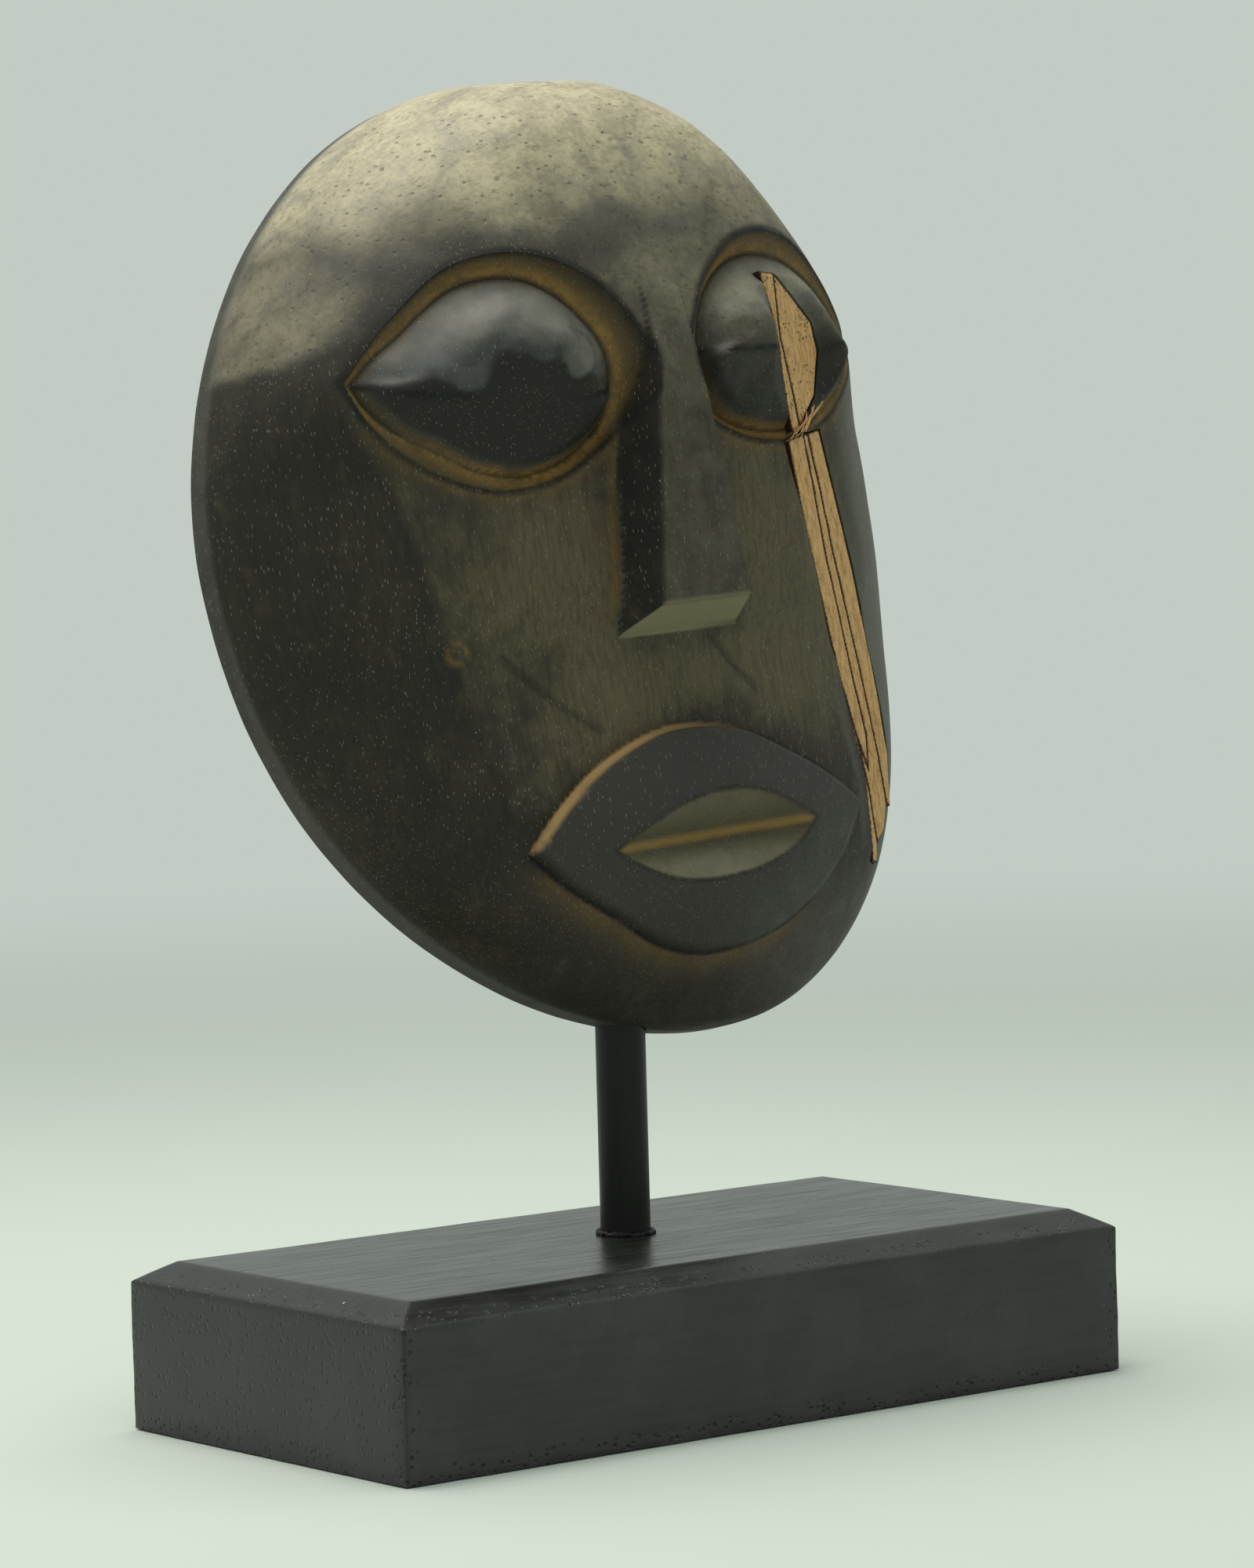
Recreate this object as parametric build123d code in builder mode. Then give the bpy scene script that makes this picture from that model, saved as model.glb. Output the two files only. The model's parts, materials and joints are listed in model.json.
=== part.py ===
from build123d import *
from math import cos, radians, sin
import os

os.makedirs("parts", exist_ok=True)

# ---------------------------------------------------------------- base and post
base_length = 200
base_width = 102
base_height = 37.2
base_chamfer_run = 7.7
base_chamfer_drop = 4.2
base_edge_radius = 1.6
top_length = base_length - 2 * base_chamfer_run
top_width = base_width - 2 * base_chamfer_run

post_x = 0
post_y = 2
post_radius = 5.6
post_socket_depth = 22
post_top = 85.5
post_top_chamfer = 0.6

pin_radius = 3
pin_in_post = 22
pin_in_chin = 34
pin_chamfer = 0.5
running_gap = 0.05
seat_gap = 0.2
seat_radial_gap = 0.4
bore_end_gap = 1.0
seat_run = 20

# ---------------------------------------------------------------- mask placement
mask_origin = (8.8, 2.1, 80.4)
mask_tilt_back = -12.8
mask_roll = -3.5
mask_yaw = 2

# ---------------------------------------------------------------- mask form
# Mask coordinates: u to the right, w up, d forward from the plane of the widest outline.
widest_w = 112
top_height = 105.6
chin_height = 113
left_half_width = 96.3
right_half_width = 87.7
chin_shift = 17
crown_power = 1.84
jaw_power = 2.31
jaw_side_power = 1.98
left_fullness = 2.36
right_fullness = (1.35, 2.74, 4.6)
front_power = 1.84
band_depth = 5
back_bevel = 8
band_step = 0.3

# Front profile on the centre line: height above the chin against depth.
front_profile = [
    (0.0, 7.0), (2.5, 11.0), (7.0, 16.0), (14.0, 22.5), (24.0, 30.5), (36.0, 35.5), (50.0, 37.3),
    (70.0, 37.5), (90.0, 40.0), (110.0, 43.5), (130.0, 48.5), (150.0, 56.0), (165.0, 55.5),
    (180.0, 52.0), (195.0, 46.5), (206.0, 37.5), (213.0, 25.5), (216.6, 12.0),
]
section_points = 12
outline_steps = 36
front_lip = 0.5

wall = 14
hollow_low = 52
hollow_high = 200
hollow_sections = 9
hollow_overrun = 1

eye_u = 42.5
eye_w = 145
eye_d = 46
eye_turn = 18
eye_half_width = 31
eye_half_height = 25
socket_depth = 5
eyeball_gap = 2.2
eyeball_relief = 4.5
eyeball_bite = 1
eyeball_top_width = 0.5
eyeball_top_height = 0.45

# Nose sections: height, half width on the face, half width of the ridge, ridge depth.
nose_sections = [
    (84.5, 18, 12.5, 38), (91, 17, 12, 52.5), (118, 12.5, 8.5, 56), (146, 8, 5.5, 59), (170, 6, 4.5, 56),
]
nose_root_depth = 26

mouth_u = 3
mouth_w = 40
lip_half_width = 51
lip_up = 23.5
lip_down = 25.5
lip_relief = 3.5
mouth_slot_half_width = 28.5
mouth_slot_half_height = 8.5
mouth_slot_depth = 3
lips_reach = 60

# ---------------------------------------------------------------- raw wood slips
# Slip coordinates: x across to the right, y up along the slips, on their common top face.
slip_origin = (39.8, 123.45, 44.8)
slip_across = (0.921, 0.262, -0.289)
slip_normal = (0.339, -0.174, 0.924)
slip_thickness = 2.4
slice_height = 14

cheek_left = [(-1.3, 0), (-0.6, -25), (1.2, -50)]
cheek_split = (1.6, -56)
edge_left = [(4.0, -81), (2.6, -91), (0.3, -100)]
edge_tip = (2.6, -101)
edge_right = [(4.2, -97), (5.2, -85), (4.2, -70)]
inner_right = [(6.6, -0.6), (6.2, -30), (7.6, -57), (9.0, -72)]
inner_tip = (6.6, -80)
middle_right = [(8.7, -0.9), (9.9, -30), (11.9, -59), (12.7, -78), (12.3, -90)]
middle_tip = (9.0, -95)
outer_right = [(14.2, -1.4), (17.4, -34), (18.2, -60), (17.6, -80)]
outer_tip = (14.0, -91)

eye_slip_top = (0.5, 38.6)
eye_slip_left = [(3.0, 26), (1.6, 9), (1.7, 1.2)]
eye_slip_foot = (5.6, 1.2)
eye_slip_split = [(5.2, 13), (4.4, 22)]
eye_slip_shoulder = (6.8, 36.6)
eye_slip_right = [(13.0, 30), (20.0, 22), (20.6, 15), (15.0, 6)]


def turned(direction):
    """A direction given in upright mask coordinates, set at the mask's lean."""
    vector = Vector(*direction).rotate(Axis.Y, mask_roll)
    vector = vector.rotate(Axis.X, mask_tilt_back)
    return vector.rotate(Axis.Z, mask_yaw)


mask_plane = Plane(origin=mask_origin, x_dir=turned((1, 0, 0)), z_dir=turned((0, -1, 0)))


def from_mask(u, w, d):
    """World point of a point in mask coordinates."""
    return mask_plane.from_local_coords(Vector(u, w, d))


def level(w):
    """Plane square to the mask's height at w: its x runs along u and its y runs backward."""
    return Plane(origin=from_mask(0, w, 0), x_dir=mask_plane.x_dir, z_dir=mask_plane.y_dir)


def blend(w, low, mid, high):
    """A value that changes along straight lines between the jaw, the middle and the crown."""
    jaw, middle, crown = 20, 110, 190
    if w < middle:
        share = max(0, (w - jaw) / (middle - jaw))
        return low + (mid - low) * share
    share = min(1, (w - middle) / (crown - middle))
    return mid + (high - mid) * share


def half_width(w, side):
    """Half width of the outline at height w on the left (-1) or right (1) side."""
    widest = left_half_width if side < 0 else right_half_width
    if w > widest_w:
        t = min(1, (w - widest_w) / top_height)
        return widest * (1 - t**crown_power) ** (1 / crown_power)
    t = min(1, (widest_w - w) / chin_height)
    return widest * (1 - t**jaw_power) ** (1 / jaw_side_power)


def middle_u(w):
    """The chin lies to the right of the middle of the face."""
    return chin_shift * (max(0, widest_w - w) / chin_height) ** 2


def profile_depth(w):
    """Depth of the front on the centre line, between the points of the profile."""
    for (w0, d0), (w1, d1) in zip(front_profile, front_profile[1:]):
        if w <= w1:
            return d0 + (d1 - d0) * (w - w0) / (w1 - w0)
    return front_profile[-1][1]


def front_curve(w, inset, relief):
    """Points of the front at height w, set in from the outline and raised by relief."""
    points = []
    for step in range(section_points + 1):
        reach = sin(radians(90 * (2 * step / section_points - 1)))
        side = -1 if reach < 0 else 1
        fullness = left_fullness if side < 0 else blend(w, *right_fullness)
        rise = max(0, 1 - abs(reach) ** fullness) ** (1 / front_power)
        u = middle_u(w) + (half_width(w, side) - inset) * reach
        foot = band_depth - front_lip
        d = foot + (profile_depth(w) + relief - foot) * rise
        points.append((u, -d))
    return points


def outline_points(inset):
    """Closed outline of the mask, set in by inset."""
    points = []
    for step in range(outline_steps):
        angle = radians(360 / outline_steps * step)
        side = 1 if sin(angle) >= 0 else -1
        widest = (right_half_width if side > 0 else left_half_width) - inset
        if cos(angle) >= 0:
            w = widest_w + (top_height - inset) * cos(angle) ** (2 / crown_power)
            u = side * widest * abs(sin(angle)) ** (2 / crown_power)
        else:
            w = widest_w - (chin_height - inset) * abs(cos(angle)) ** (2 / jaw_power)
            u = side * widest * abs(sin(angle)) ** (2 / jaw_side_power)
        points.append((u + middle_u(w), w))
    return points


def lens(half_x, up, down):
    """A pointed lens between two arcs."""
    with BuildSketch(mode=Mode.PRIVATE) as shape:
        with BuildLine():
            ThreePointArc((-half_x, 0), (0, up), (half_x, 0))
            ThreePointArc((half_x, 0), (0, -down), (-half_x, 0))
        make_face()
    return shape.sketch


def eye_plane(side):
    """Plane on the face at an eye, turned outward with the cheek."""
    return Plane(mask_plane * Location((side * eye_u, eye_w, eye_d), (0, side * eye_turn, 0)))


# ---------------------------------------------------------------- base block
with BuildPart() as base_block:
    with BuildSketch(Plane.XY):
        RectangleRounded(base_length, base_width, base_edge_radius)
    extrude(amount=base_height - base_chamfer_drop)
    with BuildSketch(Plane.XY.offset(base_height - base_chamfer_drop)):
        RectangleRounded(base_length, base_width, base_edge_radius)
    with BuildSketch(Plane.XY.offset(base_height)):
        RectangleRounded(top_length, top_width, base_edge_radius)
    loft(ruled=True)
    with BuildSketch(Plane.XY.offset(base_height - post_socket_depth)):
        with Locations((post_x, post_y)):
            Circle(post_radius)
    extrude(amount=post_socket_depth, mode=Mode.SUBTRACT)
base_block.part.label = "base_block"
export_step(base_block.part, "parts/base_block.step")

# ---------------------------------------------------------------- support post
with BuildPart() as support_post:
    with BuildSketch(Plane.XY.offset(base_height - post_socket_depth)):
        with Locations((post_x, post_y)):
            Circle(post_radius)
    extrude(amount=post_top - base_height + post_socket_depth)
    chamfer(support_post.edges().sort_by(Axis.Z)[-1], post_top_chamfer)
    with BuildSketch(Plane.XY.offset(post_top)):
        with Locations((post_x, post_y)):
            Circle(pin_radius + running_gap)
    extrude(amount=-pin_in_post, mode=Mode.SUBTRACT)
support_post.part.label = "support_post"
export_step(support_post.part, "parts/support_post.step")

# ---------------------------------------------------------------- mask pin
with BuildPart() as mask_pin:
    with BuildSketch(Plane.XY.offset(post_top - pin_in_post)):
        with Locations((post_x, post_y)):
            Circle(pin_radius)
    extrude(amount=pin_in_post + pin_in_chin)
    chamfer(mask_pin.edges().filter_by(GeomType.CIRCLE), pin_chamfer)
mask_pin.part.label = "mask_pin"
export_step(mask_pin.part, "parts/mask_pin.step")


# ---------------------------------------------------------------- dome forms
def dome(relief):
    """The front of the mask as a closed form with a flat back, raised by relief."""
    with BuildPart() as form:
        for w, depth in front_profile:
            curve = front_curve(w, band_step, relief)
            with BuildSketch(level(w)):
                with BuildLine():
                    Spline(*curve)
                    Line(curve[-1], curve[0])
                make_face()
        loft()
    return form.part


def hollow_form():
    """The hollow behind the face."""
    back = back_bevel + hollow_overrun
    with BuildPart() as form:
        for step in range(hollow_sections):
            w = hollow_low + (hollow_high - hollow_low) * step / (hollow_sections - 1)
            curve = front_curve(w, wall, -wall)
            with BuildSketch(level(w)):
                with BuildLine():
                    Spline(*curve)
                    Polyline(curve[-1], (curve[-1][0], back), (curve[0][0], back), curve[0])
                make_face()
        loft()
    return form.part


slip_plane = Plane(
    origin=from_mask(*slip_origin),
    x_dir=from_mask(*slip_across) - from_mask(0, 0, 0),
    z_dir=from_mask(*slip_normal) - from_mask(0, 0, 0),
)

slip_outlines = {
    "cheek_slip_edge": [cheek_split, *edge_left, edge_tip, *edge_right],
    "cheek_slip_inner": [*cheek_left, cheek_split, edge_right[2], inner_tip, *inner_right[::-1]],
    "cheek_slip_middle": [*inner_right, inner_tip, *edge_right[2::-1], middle_tip, *middle_right[::-1]],
    "cheek_slip_outer": [*middle_right, outer_tip, *outer_right[::-1]],
    "eye_slip_inner": [eye_slip_top, *eye_slip_left, eye_slip_foot, *eye_slip_split, eye_slip_shoulder],
    "eye_slip_outer": [eye_slip_shoulder, *eye_slip_split[::-1], eye_slip_foot, *eye_slip_right[::-1]],
}

plain_dome = dome(0)
raised_dome = dome(lip_relief)
hollow = hollow_form()
lip_lens = lens(lip_half_width, lip_up, lip_down)
socket_lens = lens(eye_half_width, eye_half_height, eye_half_height)
ball_height = eye_half_height - eyeball_gap
ball_lens = lens(eye_half_width - eyeball_gap, ball_height, ball_height)
ball_top_height = eye_half_height * eyeball_top_height
ball_top_lens = lens(eye_half_width * eyeball_top_width, ball_top_height, ball_top_height)
mouth_lens = lens(mouth_slot_half_width, mouth_slot_half_height, mouth_slot_half_height)

# ---------------------------------------------------------------- lips, as raised forms on the face
mouth_plane = Plane(mask_plane * Location((mouth_u, mouth_w, 0)))
with BuildPart() as lips:
    with BuildSketch(mouth_plane):
        add(lip_lens)
    extrude(amount=lips_reach)
    add(raised_dome, mode=Mode.INTERSECT)

# ---------------------------------------------------------------- mask
with BuildPart() as mask:
    with BuildSketch(mask_plane.offset(-back_bevel)):
        with BuildLine():
            Spline(*outline_points(back_bevel), periodic=True)
        make_face()
    with BuildSketch(mask_plane):
        with BuildLine():
            Spline(*outline_points(0), periodic=True)
        make_face()
    loft(ruled=True)
    with BuildSketch(mask_plane):
        with BuildLine():
            Spline(*outline_points(0), periodic=True)
        make_face()
    extrude(amount=band_depth)
    add(plain_dome)
    add(lips.part)
    for side in (-1, 1):
        with BuildSketch(eye_plane(side).offset(-socket_depth)):
            add(socket_lens)
        extrude(amount=socket_depth + slice_height, mode=Mode.SUBTRACT)
        with BuildSketch(eye_plane(side).offset(-socket_depth - eyeball_bite)):
            add(ball_lens)
        with BuildSketch(eye_plane(side).offset(eyeball_relief)):
            add(ball_top_lens)
        loft(ruled=True)
    for w, root, ridge, depth in nose_sections:
        with BuildSketch(level(w)):
            left_side = [(-ridge, -depth), (-root, -nose_root_depth)]
            right_side = [(root, -nose_root_depth), (ridge, -depth)]
            Polygon(*left_side, *right_side, align=None)
    loft(ruled=True)
    with BuildSketch(mouth_plane.offset(profile_depth(mouth_w) + lip_relief - mouth_slot_depth)):
        add(mouth_lens)
    extrude(amount=slice_height, mode=Mode.SUBTRACT)
    for outline in slip_outlines.values():
        with BuildSketch(slip_plane.offset(-slip_thickness)):
            Polygon(*outline, align=None)
        extrude(amount=slip_thickness + slice_height, mode=Mode.SUBTRACT)
    add(hollow, mode=Mode.SUBTRACT)
    with BuildSketch(Plane.XY.offset(post_top + seat_gap)):
        with Locations((post_x, post_y)):
            Circle(post_radius + seat_radial_gap)
    extrude(amount=-seat_run, mode=Mode.SUBTRACT)
    with BuildSketch(Plane.XY.offset(post_top)):
        with Locations((post_x, post_y)):
            Circle(pin_radius + running_gap)
    extrude(amount=pin_in_chin + bore_end_gap, mode=Mode.SUBTRACT)
mask.part.label = "mask"
export_step(mask.part, "parts/mask.step")

# ---------------------------------------------------------------- raw wood slips
for name, outline in slip_outlines.items():
    with BuildPart() as slip:
        with BuildSketch(slip_plane):
            Polygon(*outline, align=None)
        extrude(amount=-slip_thickness)
    slip.part.label = name
    export_step(slip.part, f"parts/{name}.step")
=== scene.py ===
import json
import math

import bmesh
import bpy
import numpy as np
from bpy.props import FloatProperty, FloatVectorProperty, IntProperty, PointerProperty
from mathutils import Matrix, Vector
from mathutils.geometry import delaunay_2d_cdt


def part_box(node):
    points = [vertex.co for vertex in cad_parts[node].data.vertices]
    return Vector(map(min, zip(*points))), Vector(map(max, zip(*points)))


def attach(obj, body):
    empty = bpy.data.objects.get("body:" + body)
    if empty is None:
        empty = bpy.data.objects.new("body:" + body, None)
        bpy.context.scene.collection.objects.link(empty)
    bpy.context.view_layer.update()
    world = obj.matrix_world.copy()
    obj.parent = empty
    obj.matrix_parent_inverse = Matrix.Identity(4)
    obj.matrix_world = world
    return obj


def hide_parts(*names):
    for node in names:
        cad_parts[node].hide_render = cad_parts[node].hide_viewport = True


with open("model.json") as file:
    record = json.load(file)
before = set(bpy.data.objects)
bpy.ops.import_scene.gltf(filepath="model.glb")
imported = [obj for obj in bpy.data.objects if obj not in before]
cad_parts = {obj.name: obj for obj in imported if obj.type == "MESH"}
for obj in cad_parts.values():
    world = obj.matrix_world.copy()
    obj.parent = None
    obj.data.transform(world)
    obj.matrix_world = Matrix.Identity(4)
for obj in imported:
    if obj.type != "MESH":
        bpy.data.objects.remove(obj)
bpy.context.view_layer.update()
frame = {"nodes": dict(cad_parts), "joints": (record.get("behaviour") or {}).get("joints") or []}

bl_info = {
    "name": "Carved mask on a stand",
    "version": (1, 0, 0),
    "blender": (4, 5, 0),
    "location": "3D View > Sidebar > Carved mask",
    "description": "Makes the looks of a carved wooden mask on its post and block base",
    "category": "Object",
}

MM = 0.001

# ------------------------------------------------------------------ the carving, in millimetres
# Carving coordinates: u to the right, w up from the chin, d forward from the plane of the outline.
TILT_BACK = -12.8
ROLL = -3.5
YAW = 2.0
CHIN_FROM_SWIVEL = (8.8, 0.1, -5.1)

WIDEST_W = 112.0
TOP_HEIGHT = 105.6
CHIN_HEIGHT = 112.95
CHIN_SHIFT = 17.0
CROWN_POWER = 1.84
JAW_POWER = 2.31
JAW_SIDE_POWER = 1.98
LEFT_FULLNESS = 2.36
RIGHT_FULLNESS_W = (20, 110, 190)
RIGHT_FULLNESS = (1.33, 2.74, 4.74)
FRONT_POWER = 1.84
BAND = 5.0

# Height above the chin against depth, on the centre line of the face.
PROFILE_W = (0, 12, 30, 50, 75, 100, 125, 150, 175, 195, 210, 218)
PROFILE_D = (5.5, 20.3, 33.9, 37.0, 37.3, 43.0, 46.2, 56.9, 52.7, 47.8, 34.8, 7.1)

# Each eye: the cut edge of its socket, the outline of the eyeball, and the crease across it.
LEFT_EYE = {
    "socket": [(-74, 147.2), (-67.5, 154.2), (-61.3, 159.6), (-50, 167.2), (-39, 169.6), (-28, 168),
               (-17, 161.5), (-9.5, 151.5), (-6, 142), (-8, 133.5), (-16, 126.2), (-25, 121.5),
               (-34, 119.1), (-45, 119.4), (-56, 123.8), (-65.5, 131), (-71.5, 139)],
    "ball": [(-72.2, 146.2), (-67, 150.8), (-61, 154.6), (-54, 159.4), (-46.7, 163.4), (-39, 164.8),
             (-31, 163.8), (-24, 159.6), (-18.2, 152.5), (-13.8, 144.5), (-12.6, 137.5), (-15.3, 130.6),
             (-22, 125.6), (-30, 122.8), (-38, 122), (-47, 124.2), (-57, 129.8), (-64.5, 134.6),
             (-70, 140.6)],
    "crease": [(-71.5, 145.8), (-63, 141.8), (-52, 139.4), (-40, 137.6), (-28, 136), (-18, 136.4),
               (-13.2, 139)],
    "crease_ends": (-52.0, -22.0),
    "lid_fall": 5.0,
    "shoulder": 11.0,
}
RIGHT_EYE = {
    "socket": [(73, 145.5), (67.5, 151), (61.3, 158.6), (53.5, 165.8), (44.2, 169.4), (34, 169.8),
               (24.3, 166.6), (14.6, 159), (8.6, 150), (6, 142), (8, 134.5), (16, 129), (27, 124.6),
               (39, 123.4), (50, 125.6), (59.4, 130.2), (67.5, 137.5)],
    "ball": [(70.5, 145), (65.5, 149.6), (60, 155.4), (52, 161), (44.2, 164.4), (34.1, 165.2),
             (25, 162.4), (17.5, 156.4), (12.9, 149), (12.2, 141), (14.4, 135), (20, 130.4), (28, 127.2),
             (39, 126), (50, 127.6), (59, 132.6), (65.5, 139)],
    "crease": [(69.5, 144.6), (56, 143.4), (44, 142.6), (32, 142.4), (20, 142.6), (12.8, 143.6)],
    "crease_ends": (36.0, 62.0),
    "lid_fall": 0.5,
    "shoulder": 13.0,
}
GROOVE_LEAST = 1.6
GROOVE_INWARD = 0.056
GROOVE_UPWARD = 0.062
EYE_CORNER_U = 73.0
EYE_CORNER_W = 143.0
BALL_LOW_SHOULDER = 3.2

# Nose: height, half width of the front facet, depth of the front facet.
NOSE = [(84.5, 17.5, 38.0), (89.2, 12.2, 51.6), (118, 8.6, 56.0), (134, 6.6, 58.2), (146, 5.4, 58.8),
        (156, 5.2, 57.4), (168, 5.5, 53.0), (185, 6.0, 44.0)]
NOSE_WALL = 0.42
NOSE_EDGE = 0.6
LIP_EDGES = (0.6, 1.2)

LIPS = [(-46.5, 42), (-39, 50), (-29, 57.2), (-18, 61.8), (-8, 64), (3, 63.8), (14, 61.6), (28, 55.6),
        (42, 48.8), (53.5, 42.5), (46, 32.5), (35, 23.6), (24, 18), (12, 15.4), (0, 15.2), (-12, 18.2),
        (-24, 24.4), (-37, 33)]
LIPS_CORNERS = (0, 9)
MOUTH = [(-28.5, 39.4), (-20.5, 43.2), (-12, 46.2), (-4.5, 48.0), (3.5, 48.6), (11, 47.9), (17.5, 46.2),
         (25, 43.2), (32.4, 39.8), (27, 35.9), (21, 33.2), (13, 31.0), (5, 30.1), (-4, 30.0),
         (-12.5, 31.4), (-21, 34.8)]
MOUTH_CORNERS = (0, 8)
MOUTH_DEEPEST = (2.0, 39.9)

KNOT = (-57.4, 86.6, 2.6)
CHEEK_LINES = [
    [(-47, 84), (-41, 78), (-33, 71), (-25.5, 65.5)],
    [(9, 83), (15, 76), (21, 70)],
    [(-53, 62), (-51.5, 56), (-50.5, 50)],
]

# Left of this edge the cheek is dark; right of it the stain is painted lighter.
CHEEK_EDGE = [(-76, 143), (-74.6, 140.2), (-71, 129.7), (-68, 121.3), (-65, 111), (-63, 98), (-58, 82),
              (-54, 60), (-52, 40)]

# Rubbed places on the cheeks: middle (u, w), reach across and up, and strength.
WORN_PLACES = [
    (-34, 104, 12, 15, 0.9), (-24, 86, 10, 17, 0.8), (-46, 92, 9, 14, 0.4), (-20, 68, 14, 9, 0.7),
    (6, 76, 20, 7, 0.9), (27, 104, 9, 26, 1.0), (30, 72, 10, 12, 0.7), (-38, 60, 10, 10, 0.45),
    (46, 90, 10, 30, 0.9),
]

BEVEL = 8.0
WALL = 14.0
# Each ring of the back edge: how far in from the rim, and at what depth.
EDGE_RINGS = ((0, BAND * 0.5), (0, 0.5), (0.4, 0), (BEVEL - 0.5, -BEVEL + 0.4), (BEVEL + 0.4, -BEVEL))
HOLLOW_LOW = 49.0
HOLLOW_HIGH = 202.0
RIM_POINTS = 600
HOLLOW_RINGS = 30
FINE_STEP = 0.82
FINE_REACH = 5.0
BORE_SIDES = 48
SEAT_REACH = 20.0
SEAT_CLEARANCE = 0.2
PIN_CLEARANCE = 1.0

# ------------------------------------------------------------------ the bare slips, in millimetres
# Slip coordinates: x across to the right, y up along the slips, on their common top face.
SLIP_ORIGIN = (39.8, 123.45, 44.8)
SLIP_ACROSS = (0.921, 0.262, -0.289)
SLIP_NORMAL = (0.339, -0.174, 0.924)
SLIP_THICKNESS = 2.4
SLIP_SEAM = 0.08
SLIP_WALL = 0.12

CHEEK_LEFT = [(-1.3, 0), (-0.6, -25), (1.2, -50)]
CHEEK_SPLIT = (1.6, -56)
EDGE_LEFT = [(4.0, -81), (2.6, -91), (0.3, -100)]
EDGE_TIP = (2.6, -101)
EDGE_RIGHT = [(4.2, -97), (5.2, -85), (4.2, -70)]
INNER_RIGHT = [(6.6, -0.6), (6.2, -30), (7.6, -57), (9.0, -72)]
INNER_TIP = (6.6, -80)
MIDDLE_RIGHT = [(8.7, -0.9), (9.9, -30), (11.9, -59), (12.7, -78), (12.3, -90)]
MIDDLE_TIP = (9.0, -95)
OUTER_RIGHT = [(14.2, -1.4), (17.4, -34), (18.2, -60), (17.6, -80)]
OUTER_TIP = (14.0, -91)
EYE_TOP = (0.5, 38.6)
EYE_LEFT = [(3.0, 26), (1.6, 9), (1.7, 1.2)]
EYE_FOOT = (5.6, 1.2)
EYE_SPLIT = [(5.2, 13), (4.4, 22)]
EYE_SHOULDER = (6.8, 36.6)
EYE_RIGHT = [(13.0, 30), (20.0, 22), (20.6, 15), (15.0, 6)]
SLIPS = {
    "cheek_slip_edge": [CHEEK_SPLIT, *EDGE_LEFT, EDGE_TIP, *EDGE_RIGHT],
    "cheek_slip_inner": [*CHEEK_LEFT, CHEEK_SPLIT, EDGE_RIGHT[2], INNER_TIP, *INNER_RIGHT[::-1]],
    "cheek_slip_middle": [*INNER_RIGHT, INNER_TIP, *EDGE_RIGHT[2::-1], MIDDLE_TIP, *MIDDLE_RIGHT[::-1]],
    "cheek_slip_outer": [*MIDDLE_RIGHT, OUTER_TIP, *OUTER_RIGHT[::-1]],
    "eye_slip_inner": [EYE_TOP, *EYE_LEFT, EYE_FOOT, *EYE_SPLIT, EYE_SHOULDER],
    "eye_slip_outer": [EYE_SHOULDER, *EYE_SPLIT[::-1], EYE_FOOT, *EYE_RIGHT[::-1]],
}

# ------------------------------------------------------------------ the block, in millimetres
BLOCK_BEVEL_RUN = 7.7
BLOCK_BEVEL_DROP = 4.2
BLOCK_STEP = 1.7
BLOCK_EDGE = 0.6
BLOCK_WORN_EDGE = 6.0
HIP_LEAST = 0.001

# ------------------------------------------------------------------ fixed colours
DUST = (0.5, 0.5, 0.45)
BLOCK_DUST = (0.5, 0.5, 0.47)
POST_DUST = (0.25, 0.25, 0.24)
END_WEAR = (0.006, 0.006, 0.006)
PIT_BLACK = (0.003, 0.003, 0.003)
POST_BLACKS = ((0.004, 0.0041, 0.004), (0.008, 0.008, 0.0077))
STEEL_GREYS = ((0.42, 0.42, 0.43), (0.6, 0.6, 0.61))
BLACK = (0.0, 0.0, 0.0)

# ------------------------------------------------------------------ the stage, in metres
FLOOR_REACH = 30.0
FLOOR_FADE = (0.35, 1.6)
LIGHT_PLACE = (-0.1, 0.12, 1.0)
LIGHT_TARGET = (0, -0.02, 0.2)
LIGHT_SIZE = 0.6
LIGHT_COLOUR = (1.0, 0.97, 0.9)


# ------------------------------------------------------------------ places
def carving_matrix():
    """Turns carving coordinates, laid out as (u, -d, w) in metres, into the place of the mask on its pin."""
    swivel = next(joint for joint in frame["joints"] if joint["name"] == "mask_swivel")
    origin = Vector(swivel["pos_m"]) + Vector(CHIN_FROM_SWIVEL) * MM
    turn = Matrix.Rotation(math.radians(YAW), 4, "Z")
    turn = turn @ Matrix.Rotation(math.radians(TILT_BACK), 4, "X")
    turn = turn @ Matrix.Rotation(math.radians(ROLL), 4, "Y")
    return Matrix.Translation(origin) @ turn


def place_carving(u, w, d):
    """World points, in metres, of arrays of carving coordinates in millimetres."""
    matrix = np.array(carving_matrix())
    points = np.stack([u, -np.asarray(d), w], axis=-1) * MM
    return points @ matrix[:3, :3].T + matrix[:3, 3]


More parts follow.
